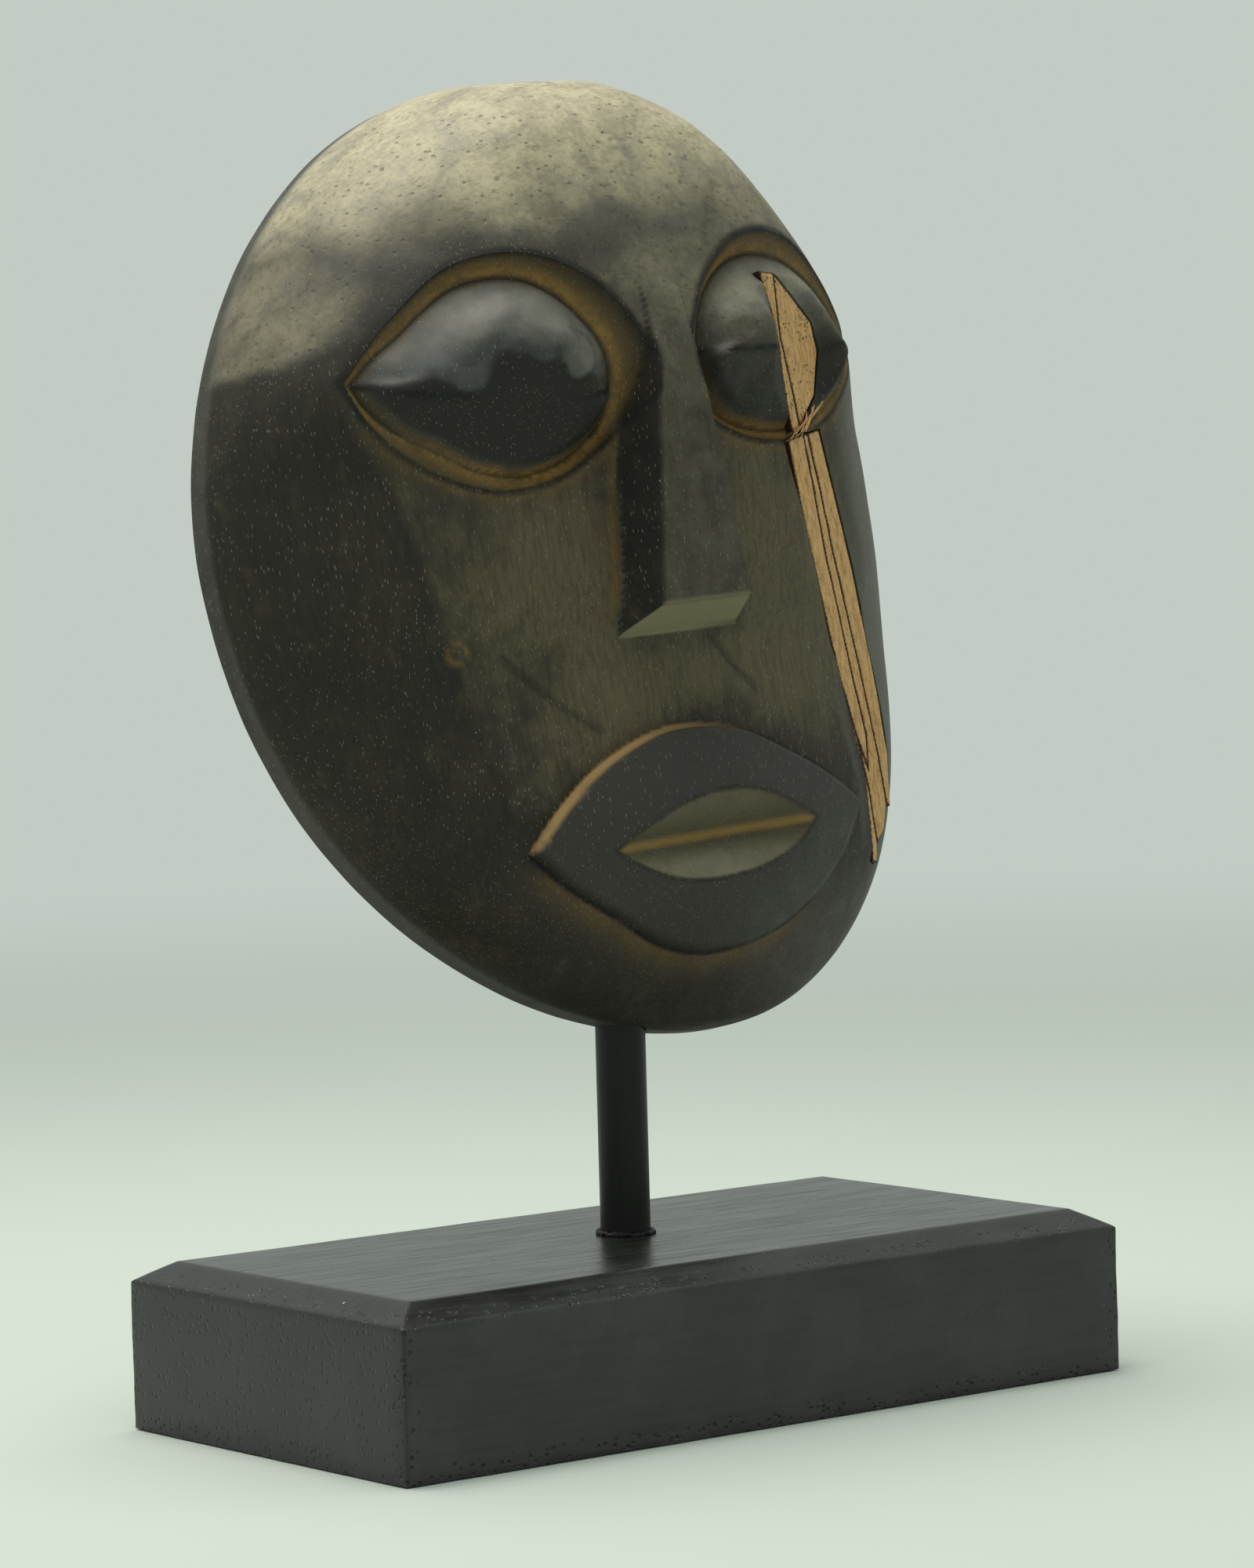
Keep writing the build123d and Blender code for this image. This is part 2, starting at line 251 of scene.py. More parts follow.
# ------------------------------------------------------------------ curves and distances
def smooth_profile(x, xs, ys):
    """Monotone cubic curve through the points (xs, ys), read at x."""
    xs, ys = np.asarray(xs, float), np.asarray(ys, float)
    step = np.diff(xs)
    slope = np.diff(ys) / step
    tangent = np.zeros_like(ys)
    before, after = slope[:-1], slope[1:]
    same = before * after > 0
    heavy, light = 2 * step[1:] + step[:-1], step[1:] + 2 * step[:-1]
    safe_before, safe_after = np.where(same, before, 1), np.where(same, after, 1)
    tangent[1:-1] = np.where(same, (heavy + light) / (heavy / safe_before + light / safe_after), 0)
    tangent[0], tangent[-1] = slope[0], slope[-1]
    x = np.clip(x, xs[0], xs[-1])
    i = np.clip(np.searchsorted(xs, x) - 1, 0, len(step) - 1)
    t = (x - xs[i]) / step[i]
    rise = ys[i] * (1 + 2 * t) * (1 - t) ** 2 + ys[i + 1] * t * t * (3 - 2 * t)
    return rise + step[i] * (tangent[i] * t * (1 - t) ** 2 - tangent[i + 1] * t * t * (1 - t))


def curve_through(points, corners=(), closed=True, step=FINE_STEP):
    """A smooth curve through the points, with a sharp corner at each numbered point."""
    points = np.asarray(points, float)
    count = len(points)
    made = []
    for i in range(count if closed else count - 1):
        j = (i + 1) % count
        before = points[i - 1] if closed or i > 0 else points[i]
        after = points[(j + 1) % count] if closed or j + 1 < count else points[j]
        leave = points[j] - points[i] if i in corners else (points[j] - before) / 2
        arrive = points[j] - points[i] if j in corners else (after - points[i]) / 2
        pieces = max(1, round(float(np.linalg.norm(points[j] - points[i])) / step))
        t = np.arange(pieces)[:, None] / pieces
        made.append(
            points[i] * (1 + 2 * t) * (1 - t) ** 2 + leave * t * (1 - t) ** 2
            + points[j] * t * t * (3 - 2 * t) - arrive * t * t * (1 - t)
        )
    if not closed:
        made.append(points[-1:])
    return np.concatenate(made)


def distance_to(line, u, w, closed=True):
    """Distance of each point (u, w) to a line, and whether it lies inside it."""
    best = np.full(u.shape, np.inf)
    inside = np.zeros(u.shape, bool)
    ends = np.roll(line, -1, axis=0) if closed else line[1:]
    for (u0, w0), (u1, w1) in zip(line, ends):
        along_u, along_w = u1 - u0, w1 - w0
        t = np.clip(((u - u0) * along_u + (w - w0) * along_w) / max(along_u**2 + along_w**2, 1e-12), 0, 1)
        best = np.minimum(best, (u - u0 - t * along_u) ** 2 + (w - w0 - t * along_w) ** 2)
        if w0 != w1:
            crosses = ((w0 > w) != (w1 > w)) & (u < along_u * (w - w0) / along_w + u0)
            inside ^= crosses
    return np.sqrt(best), inside


def smooth_step(value, low, high):
    t = np.clip((value - low) / (high - low), 0, 1)
    return t * t * (3 - 2 * t)


# ------------------------------------------------------------------ the form of the mask
def half_width(w, right, widths):
    """Half width of the outline at height w, on the right or the left."""
    widest = np.where(right, widths[1], widths[0])
    up = np.clip((w - WIDEST_W) / TOP_HEIGHT, 0, 1)
    down = np.clip((WIDEST_W - w) / CHIN_HEIGHT, 0, 1)
    crown = (1 - up**CROWN_POWER) ** (1 / CROWN_POWER)
    jaw = (1 - down**JAW_POWER) ** (1 / JAW_SIDE_POWER)
    return widest * np.where(w > WIDEST_W, crown, jaw)


def middle_u(w):
    """The chin lies to the right of the middle of the face."""
    return CHIN_SHIFT * (np.clip(WIDEST_W - w, 0, None) / CHIN_HEIGHT) ** 2


def outline(widths):
    """The rim of the mask, once round."""
    angle = np.arange(RIM_POINTS) * 2 * math.pi / RIM_POINTS
    up, across = np.cos(angle), np.sin(angle)
    widest = np.where(across >= 0, widths[1], widths[0])
    crown_w = WIDEST_W + TOP_HEIGHT * np.abs(up) ** (2 / CROWN_POWER)
    jaw_w = WIDEST_W - CHIN_HEIGHT * np.abs(up) ** (2 / JAW_POWER)
    w = np.where(up >= 0, crown_w, jaw_w)
    reach = np.where(up >= 0, np.abs(across) ** (2 / CROWN_POWER), np.abs(across) ** (2 / JAW_SIDE_POWER))
    return np.stack([np.sign(across) * widest * reach + middle_u(w), w], axis=1)


def dome_depth(u, w, widths):
    """Depth of the uncarved front."""
    right = u >= middle_u(w)
    reach = np.clip(np.abs(u - middle_u(w)) / np.maximum(half_width(w, right, widths), 1e-6), 0, 1)
    fullness = np.where(right, np.interp(w, RIGHT_FULLNESS_W, RIGHT_FULLNESS), LEFT_FULLNESS)
    rise = np.clip(1 - reach**fullness, 0, 1) ** (1 / FRONT_POWER)
    return BAND + (smooth_profile(w, PROFILE_W, PROFILE_D) - BAND) * rise


def soft_least(a, b, blend):
    """The lesser of two values, rounded where they meet."""
    h = np.clip(0.5 + 0.5 * (b - a) / blend, 0, 1)
    return b + (a - b) * h - blend * h * (1 - h)


def ripple(u, w, size, seed):
    """A gentle wave over the face, from -1 to 1."""
    rng = np.random.default_rng(seed)
    total = np.zeros_like(u)
    for _ in range(7):
        angle, phase = rng.uniform(0, 2 * math.pi, 2)
        length = size * rng.uniform(0.7, 1.5)
        total += np.sin((u * math.cos(angle) + w * math.sin(angle)) * 2 * math.pi / length + phase)
    return total / 4


def groove_depth(u, w):
    """How far the groove round an eye is sunk: least at the outer corner, most beside the nose."""
    depth = GROOVE_LEAST + GROOVE_INWARD * (EYE_CORNER_U - np.abs(u)) + GROOVE_UPWARD * (w - EYE_CORNER_W)
    return np.clip(depth, GROOVE_LEAST, 6.5)


def crease_middle(eye, u):
    """One over the middle of an eyeball, where its crease fades out, and zero at the crease's two ends."""
    first, last = eye["crease_ends"]
    return smooth_step(u, first - 4, first + 7) * smooth_step(u, last + 4, last - 7)


def inner_line(line, inset):
    """The upper left edge of a lens outline, moved in by inset."""
    along = np.gradient(line, axis=0)
    along /= np.linalg.norm(along, axis=1)[:, None]
    moved = line + inset * np.stack([along[:, 1], -along[:, 0]], axis=1)
    upper = (line[:, 1] > line[0, 1] + 3) & (line[:, 0] < 28)
    return moved[upper]


def signed_distance(line, u, w):
    """Distance to a closed line, negative inside it."""
    away, inside = distance_to(line, u, w)
    return np.where(inside, -away, away)


class Carving:
    """The carved front: its depth at any place on the face, its creases, its worn paint and the painted shade
    and highlight on its nose.
    """

    def __init__(self, settings):
        self.widths = (settings.left_half_width / MM, settings.right_half_width / MM)
        self.proud = settings.eyeball_proud / MM
        self.lip_relief = settings.lip_relief / MM
        self.rim = outline(self.widths)
        self.eyes = [
            {
                "socket": curve_through(eye["socket"], corners=(0,)),
                "ball": curve_through(eye["ball"], corners=(0,)),
                "crease": curve_through(eye["crease"], closed=False),
                "crease_ends": eye["crease_ends"],
                "lid_fall": eye["lid_fall"],
                "shoulder": eye["shoulder"],
            }
            for eye in (LEFT_EYE, RIGHT_EYE)
        ]
        self.lips = curve_through(LIPS, corners=LIPS_CORNERS)
        self.mouth = curve_through(MOUTH, corners=MOUTH_CORNERS)
        self.mouth_middle = curve_through([MOUTH[0], MOUTH_DEEPEST, MOUTH[MOUTH_CORNERS[1]]], closed=False)
        self.cheek_lines = [curve_through(line, closed=False) for line in CHEEK_LINES]
        self.cheek_edge = curve_through(CHEEK_EDGE, closed=False)
        self.slip_axes()
        self.slip_pocket = self.on_face(self.grown_outline(SLIP_SEAM + SLIP_WALL / 2))

    def slip_axes(self):
        """Axes of the slips' common face, in carving coordinates."""
        normal = np.array(SLIP_NORMAL) / np.linalg.norm(SLIP_NORMAL)
        across = np.array(SLIP_ACROSS) - normal * np.dot(SLIP_ACROSS, normal)
        self.slip_normal = normal
        self.slip_across = across / np.linalg.norm(across)
        self.slip_up = np.cross(normal, self.slip_across)

    def slip_point(self, x, y, lift=0.0):
        """Carving coordinates of a place on the slips, raised by lift along the depth of the face."""
        x, y = np.asarray(x, float), np.asarray(y, float)
        point = np.array(SLIP_ORIGIN) + x[..., None] * self.slip_across + y[..., None] * self.slip_up
        return point[..., 0], point[..., 1], point[..., 2] + lift

    def on_face(self, points):
        """Slip coordinates as places (u, w) on the face."""
        points = np.asarray(points, float)
        u, w, _ = self.slip_point(points[:, 0], points[:, 1])
        return np.stack([u, w], axis=1)

    def slip_depth(self, u, w):
        """Depth of the slips' common face over a place on the face."""
        u0, w0, d0 = SLIP_ORIGIN
        across, up, out = self.slip_normal
        return d0 - (across * (u - u0) + up * (w - w0)) / out

    def grown_outline(self, grow):
        """Outline of all the slips together, grown outward a little."""
        left = [EYE_SHOULDER, EYE_TOP, *EYE_LEFT, *CHEEK_LEFT, CHEEK_SPLIT]
        left += [*EDGE_LEFT, EDGE_TIP, EDGE_RIGHT[0]]
        foot = [MIDDLE_TIP, MIDDLE_RIGHT[-1], OUTER_TIP]
        right = [*OUTER_RIGHT[::-1], MIDDLE_RIGHT[0], EYE_FOOT, *EYE_RIGHT[::-1]]
        points = np.array(left + foot + right, float)
        tangent = np.roll(points, -1, axis=0) - np.roll(points, 1, axis=0)
        tangent /= np.linalg.norm(tangent, axis=1)[:, None]
        return points + grow * np.stack([tangent[:, 1], -tangent[:, 0]], axis=1)

    def eye(self, depth, u, w, eye):
        """Cuts a socket and leaves the eyeball standing in it."""
        to_socket, in_socket = distance_to(eye["socket"], u, w)
        to_ball, in_ball = distance_to(eye["ball"], u, w)
        groove = groove_depth(u, w)
        wall = to_socket / np.maximum(to_socket + to_ball, 1e-6)
        crease = eye["crease"][np.argsort(eye["crease"][:, 0])]
        above = w - np.interp(u, crease[:, 0], crease[:, 1])
        spread = 11 * crease_middle(eye, u)
        upper = smooth_step(above, -2 - spread, 5 + spread)
        scallop = 1 + 0.16 * ripple(u, w, 11, 5)
        shoulder = (BALL_LOW_SHOULDER + (eye["shoulder"] - BALL_LOW_SHOULDER) * upper) * scallop
        rise = soft_least(to_ball / shoulder, np.ones_like(u), 0.28)
        ball = (groove + self.proud) * rise + 0.35 * ripple(u, w, 16, 8) * rise
        fold = 0.5 * (np.sqrt(above**2 + spread**2) - spread)
        ball -= fold * np.where(above < 0, 0.22, 0.07) * smooth_step(to_ball, 0.5, 5)
        sunk = np.where(in_ball, groove - ball, groove * wall**0.9)
        return np.where(in_socket, depth - sunk, depth)

    def nose_wedge(self, u, w):
        """Depth of the nose wedge, and how far each place lies out on its side walls."""
        heights, halves, depths = np.array(NOSE).T
        facet = np.interp(w, heights, depths, left=-50, right=-50)
        out = np.clip(np.abs(u) - np.interp(w, heights, halves), 0, None)
        across = np.minimum(np.abs(u), np.interp(w, heights, halves))
        return facet - out / NOSE_WALL - 0.0035 * across**2, out

    def nose(self, depth, u, w):
        """Stands the nose wedge on the face."""
        wedge, _ = self.nose_wedge(u, w)
        blend = 0.35 + 3.2 * smooth_step(w, 140, 158)
        return -soft_least(-depth, -wedge, blend)

    def nose_reach(self, side):
        """How far the side walls of the nose reach out before they meet the face."""
        heights, halves, depths = np.array(NOSE).T[:, :5]
        out = np.zeros(5)
        for _ in range(4):
            out = NOSE_WALL * (depths - dome_depth(side * (halves + out), heights, self.widths))
        return np.clip(out, NOSE_EDGE + 0.6, None)

    def nose_paint(self, u, w):
        """Where the painted shade on the side walls of the nose lies, the painted highlight on its front, and
        its lighter underside.
        """
        wedge, out = self.nose_wedge(u, w)
        proud = wedge - dome_depth(u, w, self.widths)
        low, tip = NOSE[0][0], NOSE[1][0]
        below = smooth_step(w, tip + 0.5, tip - 0.4) * smooth_step(w, low - 0.6, low)
        under = smooth_step(proud, -0.6, 0.4) * below * smooth_step(out, 0.5, 0.0)
        wall = smooth_step(proud, -1.0, 0.2) * smooth_step(out, 0.0, NOSE_EDGE) * (1 - under)
        ridge = smooth_step(proud, 0.0, 3.0) * smooth_step(out, 0.9, 0.2) * smooth_step(w, 158, 140)
        ridge = ridge * (1 - under)
        return wall, under, ridge

    def mouth_form(self, depth, u, w):
        """Raises the lips out of a shallow cove and cuts the mouth between them."""
        to_lips, in_lips = distance_to(self.lips, u, w)
        to_mouth, in_mouth = distance_to(self.mouth, u, w)
        relief = self.lip_relief * (0.35 + 0.65 * smooth_step(-u, -45, 20))
        relief = relief * (0.3 + 0.7 * smooth_step(w, 24, 52))
        cove = 0.5 * relief * np.exp(-to_lips / 4.5)
        wall = np.clip(to_lips / 1.3, 0, 1)
        swell = 1.1 * smooth_step(to_lips, 0, 14)
        raised = depth - 0.5 * relief + 1.5 * relief * wall + swell
        raised -= np.where(in_mouth, 0.62 * to_mouth, 0)
        return np.where(in_lips, raised, depth - cove)

    def small_marks(self, depth, u, w):
        """A knot and the fine lines cut in the cheeks."""
        knot_u, knot_w, radius = KNOT
        away = np.hypot(u - knot_u, w - knot_w)
        depth = depth - 0.5 * np.exp(-(((away - radius) / 0.7) ** 2)) + 0.35 * np.exp(-((away / 1.6) ** 2))
        for line in self.cheek_lines:
            to_line, _ = distance_to(line, u, w, closed=False)
            depth = depth - 0.45 * np.exp(-((to_line / 0.8) ** 2))
        return depth

    def depth(self, u, w):
        """Depth of the finished front."""
        depth = dome_depth(u, w, self.widths)
        for eye in self.eyes:
            depth = self.eye(depth, u, w, eye)
        depth = self.nose(depth, u, w)
        depth = self.mouth_form(depth, u, w)
        depth = self.small_marks(depth, u, w)
        to_slips, in_slips = distance_to(self.slip_pocket, u, w)
        top = self.slip_depth(u, w)
        near = smooth_step(to_slips, 7, 0.5)
        depth = np.where(in_slips, top - SLIP_THICKNESS, depth - near * np.clip(depth - top - 0.15, 0, None))
        return depth

    def guide_lines(self):
        """Lines that the mesh follows, each with whether it is closed."""
        heights, halves, _ = np.array(NOSE).T
        lines = [(self.lips, True), (self.mouth, True)]
        for eye in self.eyes:
            lines += [(eye["socket"], True), (eye["ball"], True), (eye["crease"], False)]
        for out in (0.0, NOSE_EDGE):
            for side in (-1, 1):
                ridge = np.stack([side * (halves[:5] + out), heights[:5]], axis=1)
                lines.append((curve_through(ridge, corners=(0, 1), closed=False), False))
        for side in (-1, 1):
            foot = np.stack([side * (halves[:5] + self.nose_reach(side)), heights[:5]], axis=1)
            lines.append((curve_through(foot[1:], closed=False), False))
        for inset in LIP_EDGES:
            lines.append((inner_line(self.lips, inset), False))
        tip = np.array([(-halves[1], heights[1]), (halves[1], heights[1])])
        lines.append((curve_through(tip, closed=False), False))
        lines.append((self.mouth_middle, False))
        for grow in (SLIP_SEAM, SLIP_SEAM + SLIP_WALL):
            ring = self.on_face(self.grown_outline(grow))
            lines.append((curve_through(ring, corners=range(len(ring))), True))
        return lines


# ------------------------------------------------------------------ meshes
class Unrolled:
    """A flat layout of the face in which even steps stay even over the steep edge near the rim."""

    def __init__(self, rim):
        self.centre = np.array([0.0, WIDEST_W])
        self.rim = rim
        away = rim - self.centre
        order = np.argsort(np.arctan2(away[:, 1], away[:, 0]))
        self.angles = np.arctan2(away[:, 1], away[:, 0])[order]
        self.reaches = np.linalg.norm(away, axis=1)[order]

    def reach(self, away):
        """Distance of the rim from the middle, in the direction of each point."""
        angle = np.arctan2(away[:, 1], away[:, 0])
        return np.interp(angle, self.angles, self.reaches, period=2 * math.pi)

    def lay_flat(self, points):
        away = points - self.centre
        share = np.clip(np.linalg.norm(away, axis=1) / self.reach(away), 1e-6, 1)
        return self.centre + away * (np.arcsin(share) * 2 / math.pi / share)[:, None]

    def roll_back(self, points):
        away = points - self.centre
        share = np.clip(np.linalg.norm(away, axis=1) / self.reach(away), 1e-6, 1)
        return self.centre + away * (np.sin(share * math.pi / 2) / share)[:, None]


def new_object(name, vertices, faces, materials=()):
    """A mesh object at the origin, in metres."""
    mesh = bpy.data.meshes.new(name)
    mesh.from_pydata([tuple(v) for v in vertices], [], [tuple(f) for f in faces])
    mesh.validate()
    made = bpy.data.objects.new(name, mesh)
    bpy.context.scene.collection.objects.link(made)
    for material in materials:
        mesh.materials.append(material)
    return made


def paint(made, name, values):
    """Writes one number for each point of a mesh."""
    layer = made.data.attributes.new(name, "FLOAT", "POINT")
    layer.data.foreach_set("value", np.asarray(values, np.float32))


def shade_by_angle(made, degrees):
    """Smooth shading, with edges sharper than the angle kept sharp."""
    made.data.shade_smooth()
    made.data.set_sharp_from_angle(angle=math.radians(degrees))


def mesh_between(rim, lines, spacing):
    """Triangles that fill a rim and follow the lines inside it, finer near them.

    Returns the points, the faces and the place of each rim point among the points."""
    points = [tuple(p) for p in rim]
    edges = [(i, (i + 1) % len(rim)) for i in range(len(rim))]
    for line, closed in lines:
        first = len(points)
        points += [tuple(p) for p in line]
        edges += [(first + i, first + i + 1) for i in range(len(line) - 1)]
        if closed:
            edges.append((first + len(line) - 1, first))
    low, high = rim.min(0), rim.max(0)
    rows = np.arange(low[1], high[1], spacing * math.sqrt(0.75))
    fill = []
    for row, y in enumerate(rows):
        x = np.arange(low[0] + (row % 2) * spacing / 2, high[0], spacing)
        coarse = (np.arange(len(x)) % 2 == 0) & (row % 2 == 0)
        fill.append(np.stack([x, np.full_like(x, y), coarse], axis=1))
    fill = np.concatenate(fill)
    to_rim, inside = distance_to(rim, fill[:, 0], fill[:, 1])
    to_line = np.full(len(fill), np.inf)
    for line, closed in lines:
        to_line = np.minimum(to_line, distance_to(line, fill[:, 0], fill[:, 1], closed)[0])
    keep = inside & (to_rim > spacing * 0.5) & (to_line > spacing * 0.42)
    keep &= (fill[:, 2] > 0) | (to_line < FINE_REACH) | (to_rim < 3)
    points += [tuple(p) for p in fill[keep][:, :2]]
    found = delaunay_2d_cdt([Vector(p) for p in points], edges, [], 0, 1e-5, True)
    places = np.array([tuple(p) for p in found[0]])
    rim_places = [None] * len(rim)
    for index, sources in enumerate(found[3]):
        for source in sources:
            if source < len(rim):
                rim_places[source] = index
    faces = np.array(found[2])
    middle = places[faces].mean(axis=1)
    _, kept = distance_to(rim, middle[:, 0], middle[:, 1])
    return places, faces[kept], rim_places


def back_rings(carving):
    """Rings of points behind the rim: the band, the bevel, the back edge and the hollow, as (u, w, d)."""
    rim = carving.rim
    middle = rim.mean(axis=0)
    inward = middle - rim
    inward /= np.linalg.norm(inward, axis=1)[:, None]
    rings = [np.column_stack([rim + inward * inset, np.full(len(rim), depth)]) for inset, depth in EDGE_RINGS]
    hollow_middle = np.array([0.0, (HOLLOW_LOW + HOLLOW_HIGH) / 2])
    shrink_u = (carving.widths[0] - WALL) / carving.widths[0]
    shrink_w = (HOLLOW_HIGH - HOLLOW_LOW) / (TOP_HEIGHT + CHIN_HEIGHT)
    lip = np.column_stack([
        (rim[:, 0] - middle_u(rim[:, 1])) * shrink_u + 1.5,
        hollow_middle[1] + (rim[:, 1] - (WIDEST_W + (TOP_HEIGHT - CHIN_HEIGHT) / 2)) * shrink_w,
    ])
    rings.append(np.column_stack([lip + inward * -0.8, np.full(len(rim), -BEVEL)]))
    for step in range(HOLLOW_RINGS):
        share = math.cos(math.pi / 2 * (step / HOLLOW_RINGS) ** 0.85)
        place = hollow_middle + (lip - hollow_middle) * share
        inner = dome_depth(place[:, 0], place[:, 1], carving.widths) - WALL
        bowl = (1 - share**3.4) ** 0.5
        rings.append(np.column_stack([place, -BEVEL + 0.7 + (inner + BEVEL - 0.7) * bowl]))
    deepest = float(dome_depth(np.array([0.0]), hollow_middle[1:], carving.widths)[0]) - WALL
    return rings, np.array([*hollow_middle, deepest])


def band_of_faces(outer, inner):
    """Four-sided faces between two rings of points."""
    after = [(i + 1) % len(outer) for i in range(len(outer))]
    return [(outer[i], inner[i], inner[j], outer[j]) for i, j in enumerate(after)]


def build_mask(carving, spacing):
    """The whole carving as one closed mesh, with its worn paint written on its points."""
    layout = Unrolled(carving.rim)
    lines = [(layout.lay_flat(line), closed) for line, closed in carving.guide_lines()]
    flat, faces, rim_places = mesh_between(layout.lay_flat(carving.rim), lines, spacing)
    place = layout.roll_back(flat)
    place[rim_places] = carving.rim
    u, w = place.T
    depth = carving.depth(u, w)
    depth[rim_places] = BAND
    rings, bottom = back_rings(carving)
    count, around = len(u), RIM_POINTS
    u = np.concatenate([u, *[ring[:, 0] for ring in rings], bottom[:1]])
    w = np.concatenate([w, *[ring[:, 1] for ring in rings], bottom[1:2]])
    depth = np.concatenate([depth, *[ring[:, 2] for ring in rings], bottom[2:]])
    faces = [tuple(face) for face in faces]
    outer = list(rim_places)
    for index in range(len(rings)):
        inner = [count + index * around + i for i in range(around)]
        faces += band_of_faces(outer, inner)
        outer = inner
    last = len(u) - 1
    faces += [(outer[i], last, outer[(i + 1) % around]) for i in range(around)]
    made = new_object("carved_mask", place_carving(u, w, depth), faces)
    front = np.arange(len(u)) < count
    in_hollow = np.arange(len(u)) >= count + len(EDGE_RINGS) * around
    write_wear(made, carving, u, w, depth, front, in_hollow)
    return made


def eye_wear(carving, u, w):
    """Paint on and round the eyeballs, with painted light on their upper part and painted shade in the sockets
    beside the nose, and how far each place lies outside the nearer socket.
    """
    near_socket = np.full(u.shape, np.inf)
    ochre, groove, line, ball, lit_lid, pool = (np.zeros_like(u) for _ in range(6))
    for eye in carving.eyes:
        socket = signed_distance(eye["socket"], u, w)
        eyeball = signed_distance(eye["ball"], u, w)
        to_crease, _ = distance_to(eye["crease"], u, w, closed=False)
        near_socket = np.minimum(near_socket, np.clip(socket, 0, None))
        in_ball = smooth_step(eyeball, 0.25, -0.25)
        in_socket = smooth_step(socket, 0.25, -0.25)
        crease = eye["crease"][np.argsort(eye["crease"][:, 0])]
        above = w - np.interp(u, crease[:, 0], crease[:, 1])
        inward = smooth_step(np.abs(u), 66, 30)
        groove = np.maximum(groove, in_socket * (1 - in_ball))
        beside_ball = smooth_step(eyeball, 4.2, 0.4) * (0.5 + 0.5 * inward)
        ochre = np.maximum(ochre, in_socket * beside_ball * (1 - in_ball))
        low_edge = smooth_step(above, -4, -14)
        edge_ochre = in_ball * smooth_step(-eyeball, 2.4, 0.3) * (0.45 + 0.45 * low_edge)
        groove = np.maximum(groove, edge_ochre)
        ochre = np.maximum(ochre, edge_ochre * (0.4 + 0.6 * low_edge))
        below_eye = smooth_step(socket, 5, 0.5) * (socket > 0) * low_edge * 0.5
        groove = np.maximum(groove, below_eye)
        ochre = np.maximum(ochre, below_eye)
        line = np.maximum(line, smooth_step(np.abs(socket - 0.3), 1.1 + 0.7 * (above > 0), 0.1))
        line = np.maximum(line, 0.75 * smooth_step(np.abs(eyeball - 0.2), 0.9, 0.1) * (above > -8))
        # Painted shade in the socket beside the eyeball towards the nose, laid in with the dark lines.
        shaded = in_socket * (1 - in_ball) * smooth_step(-socket, 3.4, 0.2) * smooth_step(eyeball, 0.6, 3.0)
        line = np.maximum(line, 0.8 * shaded * smooth_step(np.abs(u), 40, 12))
        folded = 1 - crease_middle(eye, u)
        line = np.maximum(line, in_ball * folded * smooth_step(to_crease, 1.2, 0.2))
        ball = np.maximum(ball, in_ball)
        scallop = 3.0 * ripple(u, w, 14, 21) + 0.7 * ripple(u, w, 7, 22)
        off_middle = np.abs(u - np.mean(eye["crease_ends"]))
        height = above + scallop + eye["lid_fall"] * smooth_step(off_middle, 4, 26)
        # Painted light: the lit upper facet of each eyeball, a round patch on it and a faint light ring low on
        # the ball are painted lighter.
        lit_lid = np.maximum(lit_lid, in_ball * smooth_step(height, 11.0, 14.5) * smooth_step(-eyeball, 0.2, 1.2))
        edge_of_ball = smooth_step(np.abs(eyeball + 1.4), 0.9, 0.2)
        lit_lid = np.maximum(lit_lid, 0.2 * in_ball * smooth_step(above, 2, -6) * edge_of_ball)
        # Painted light: a half-lit band across the upper part of each eyeball, below its lit facet.
        pool = np.maximum(pool, in_ball * smooth_step(height, 6.6, 9.0) * 0.8)
        spot = np.hypot((u + 24.5) / 4.8, (above - 9.0) / 4.6) + 0.12 * ripple(u, w, 5, 31)
        lit_lid = np.maximum(lit_lid, in_ball * smooth_step(spot, 1.15, 0.85))
        line = np.maximum(line, 0.5 * in_ball * smooth_step(np.abs(spot - 1.2), 0.16, 0.0))
    lit_lid = np.clip(lit_lid, 0, 1)
    layers = {"ochre": ochre, "groove": groove, "seam_and_shade": line, "eyeball": ball, "lit_lid": lit_lid, "pool": pool}
    return layers, near_socket


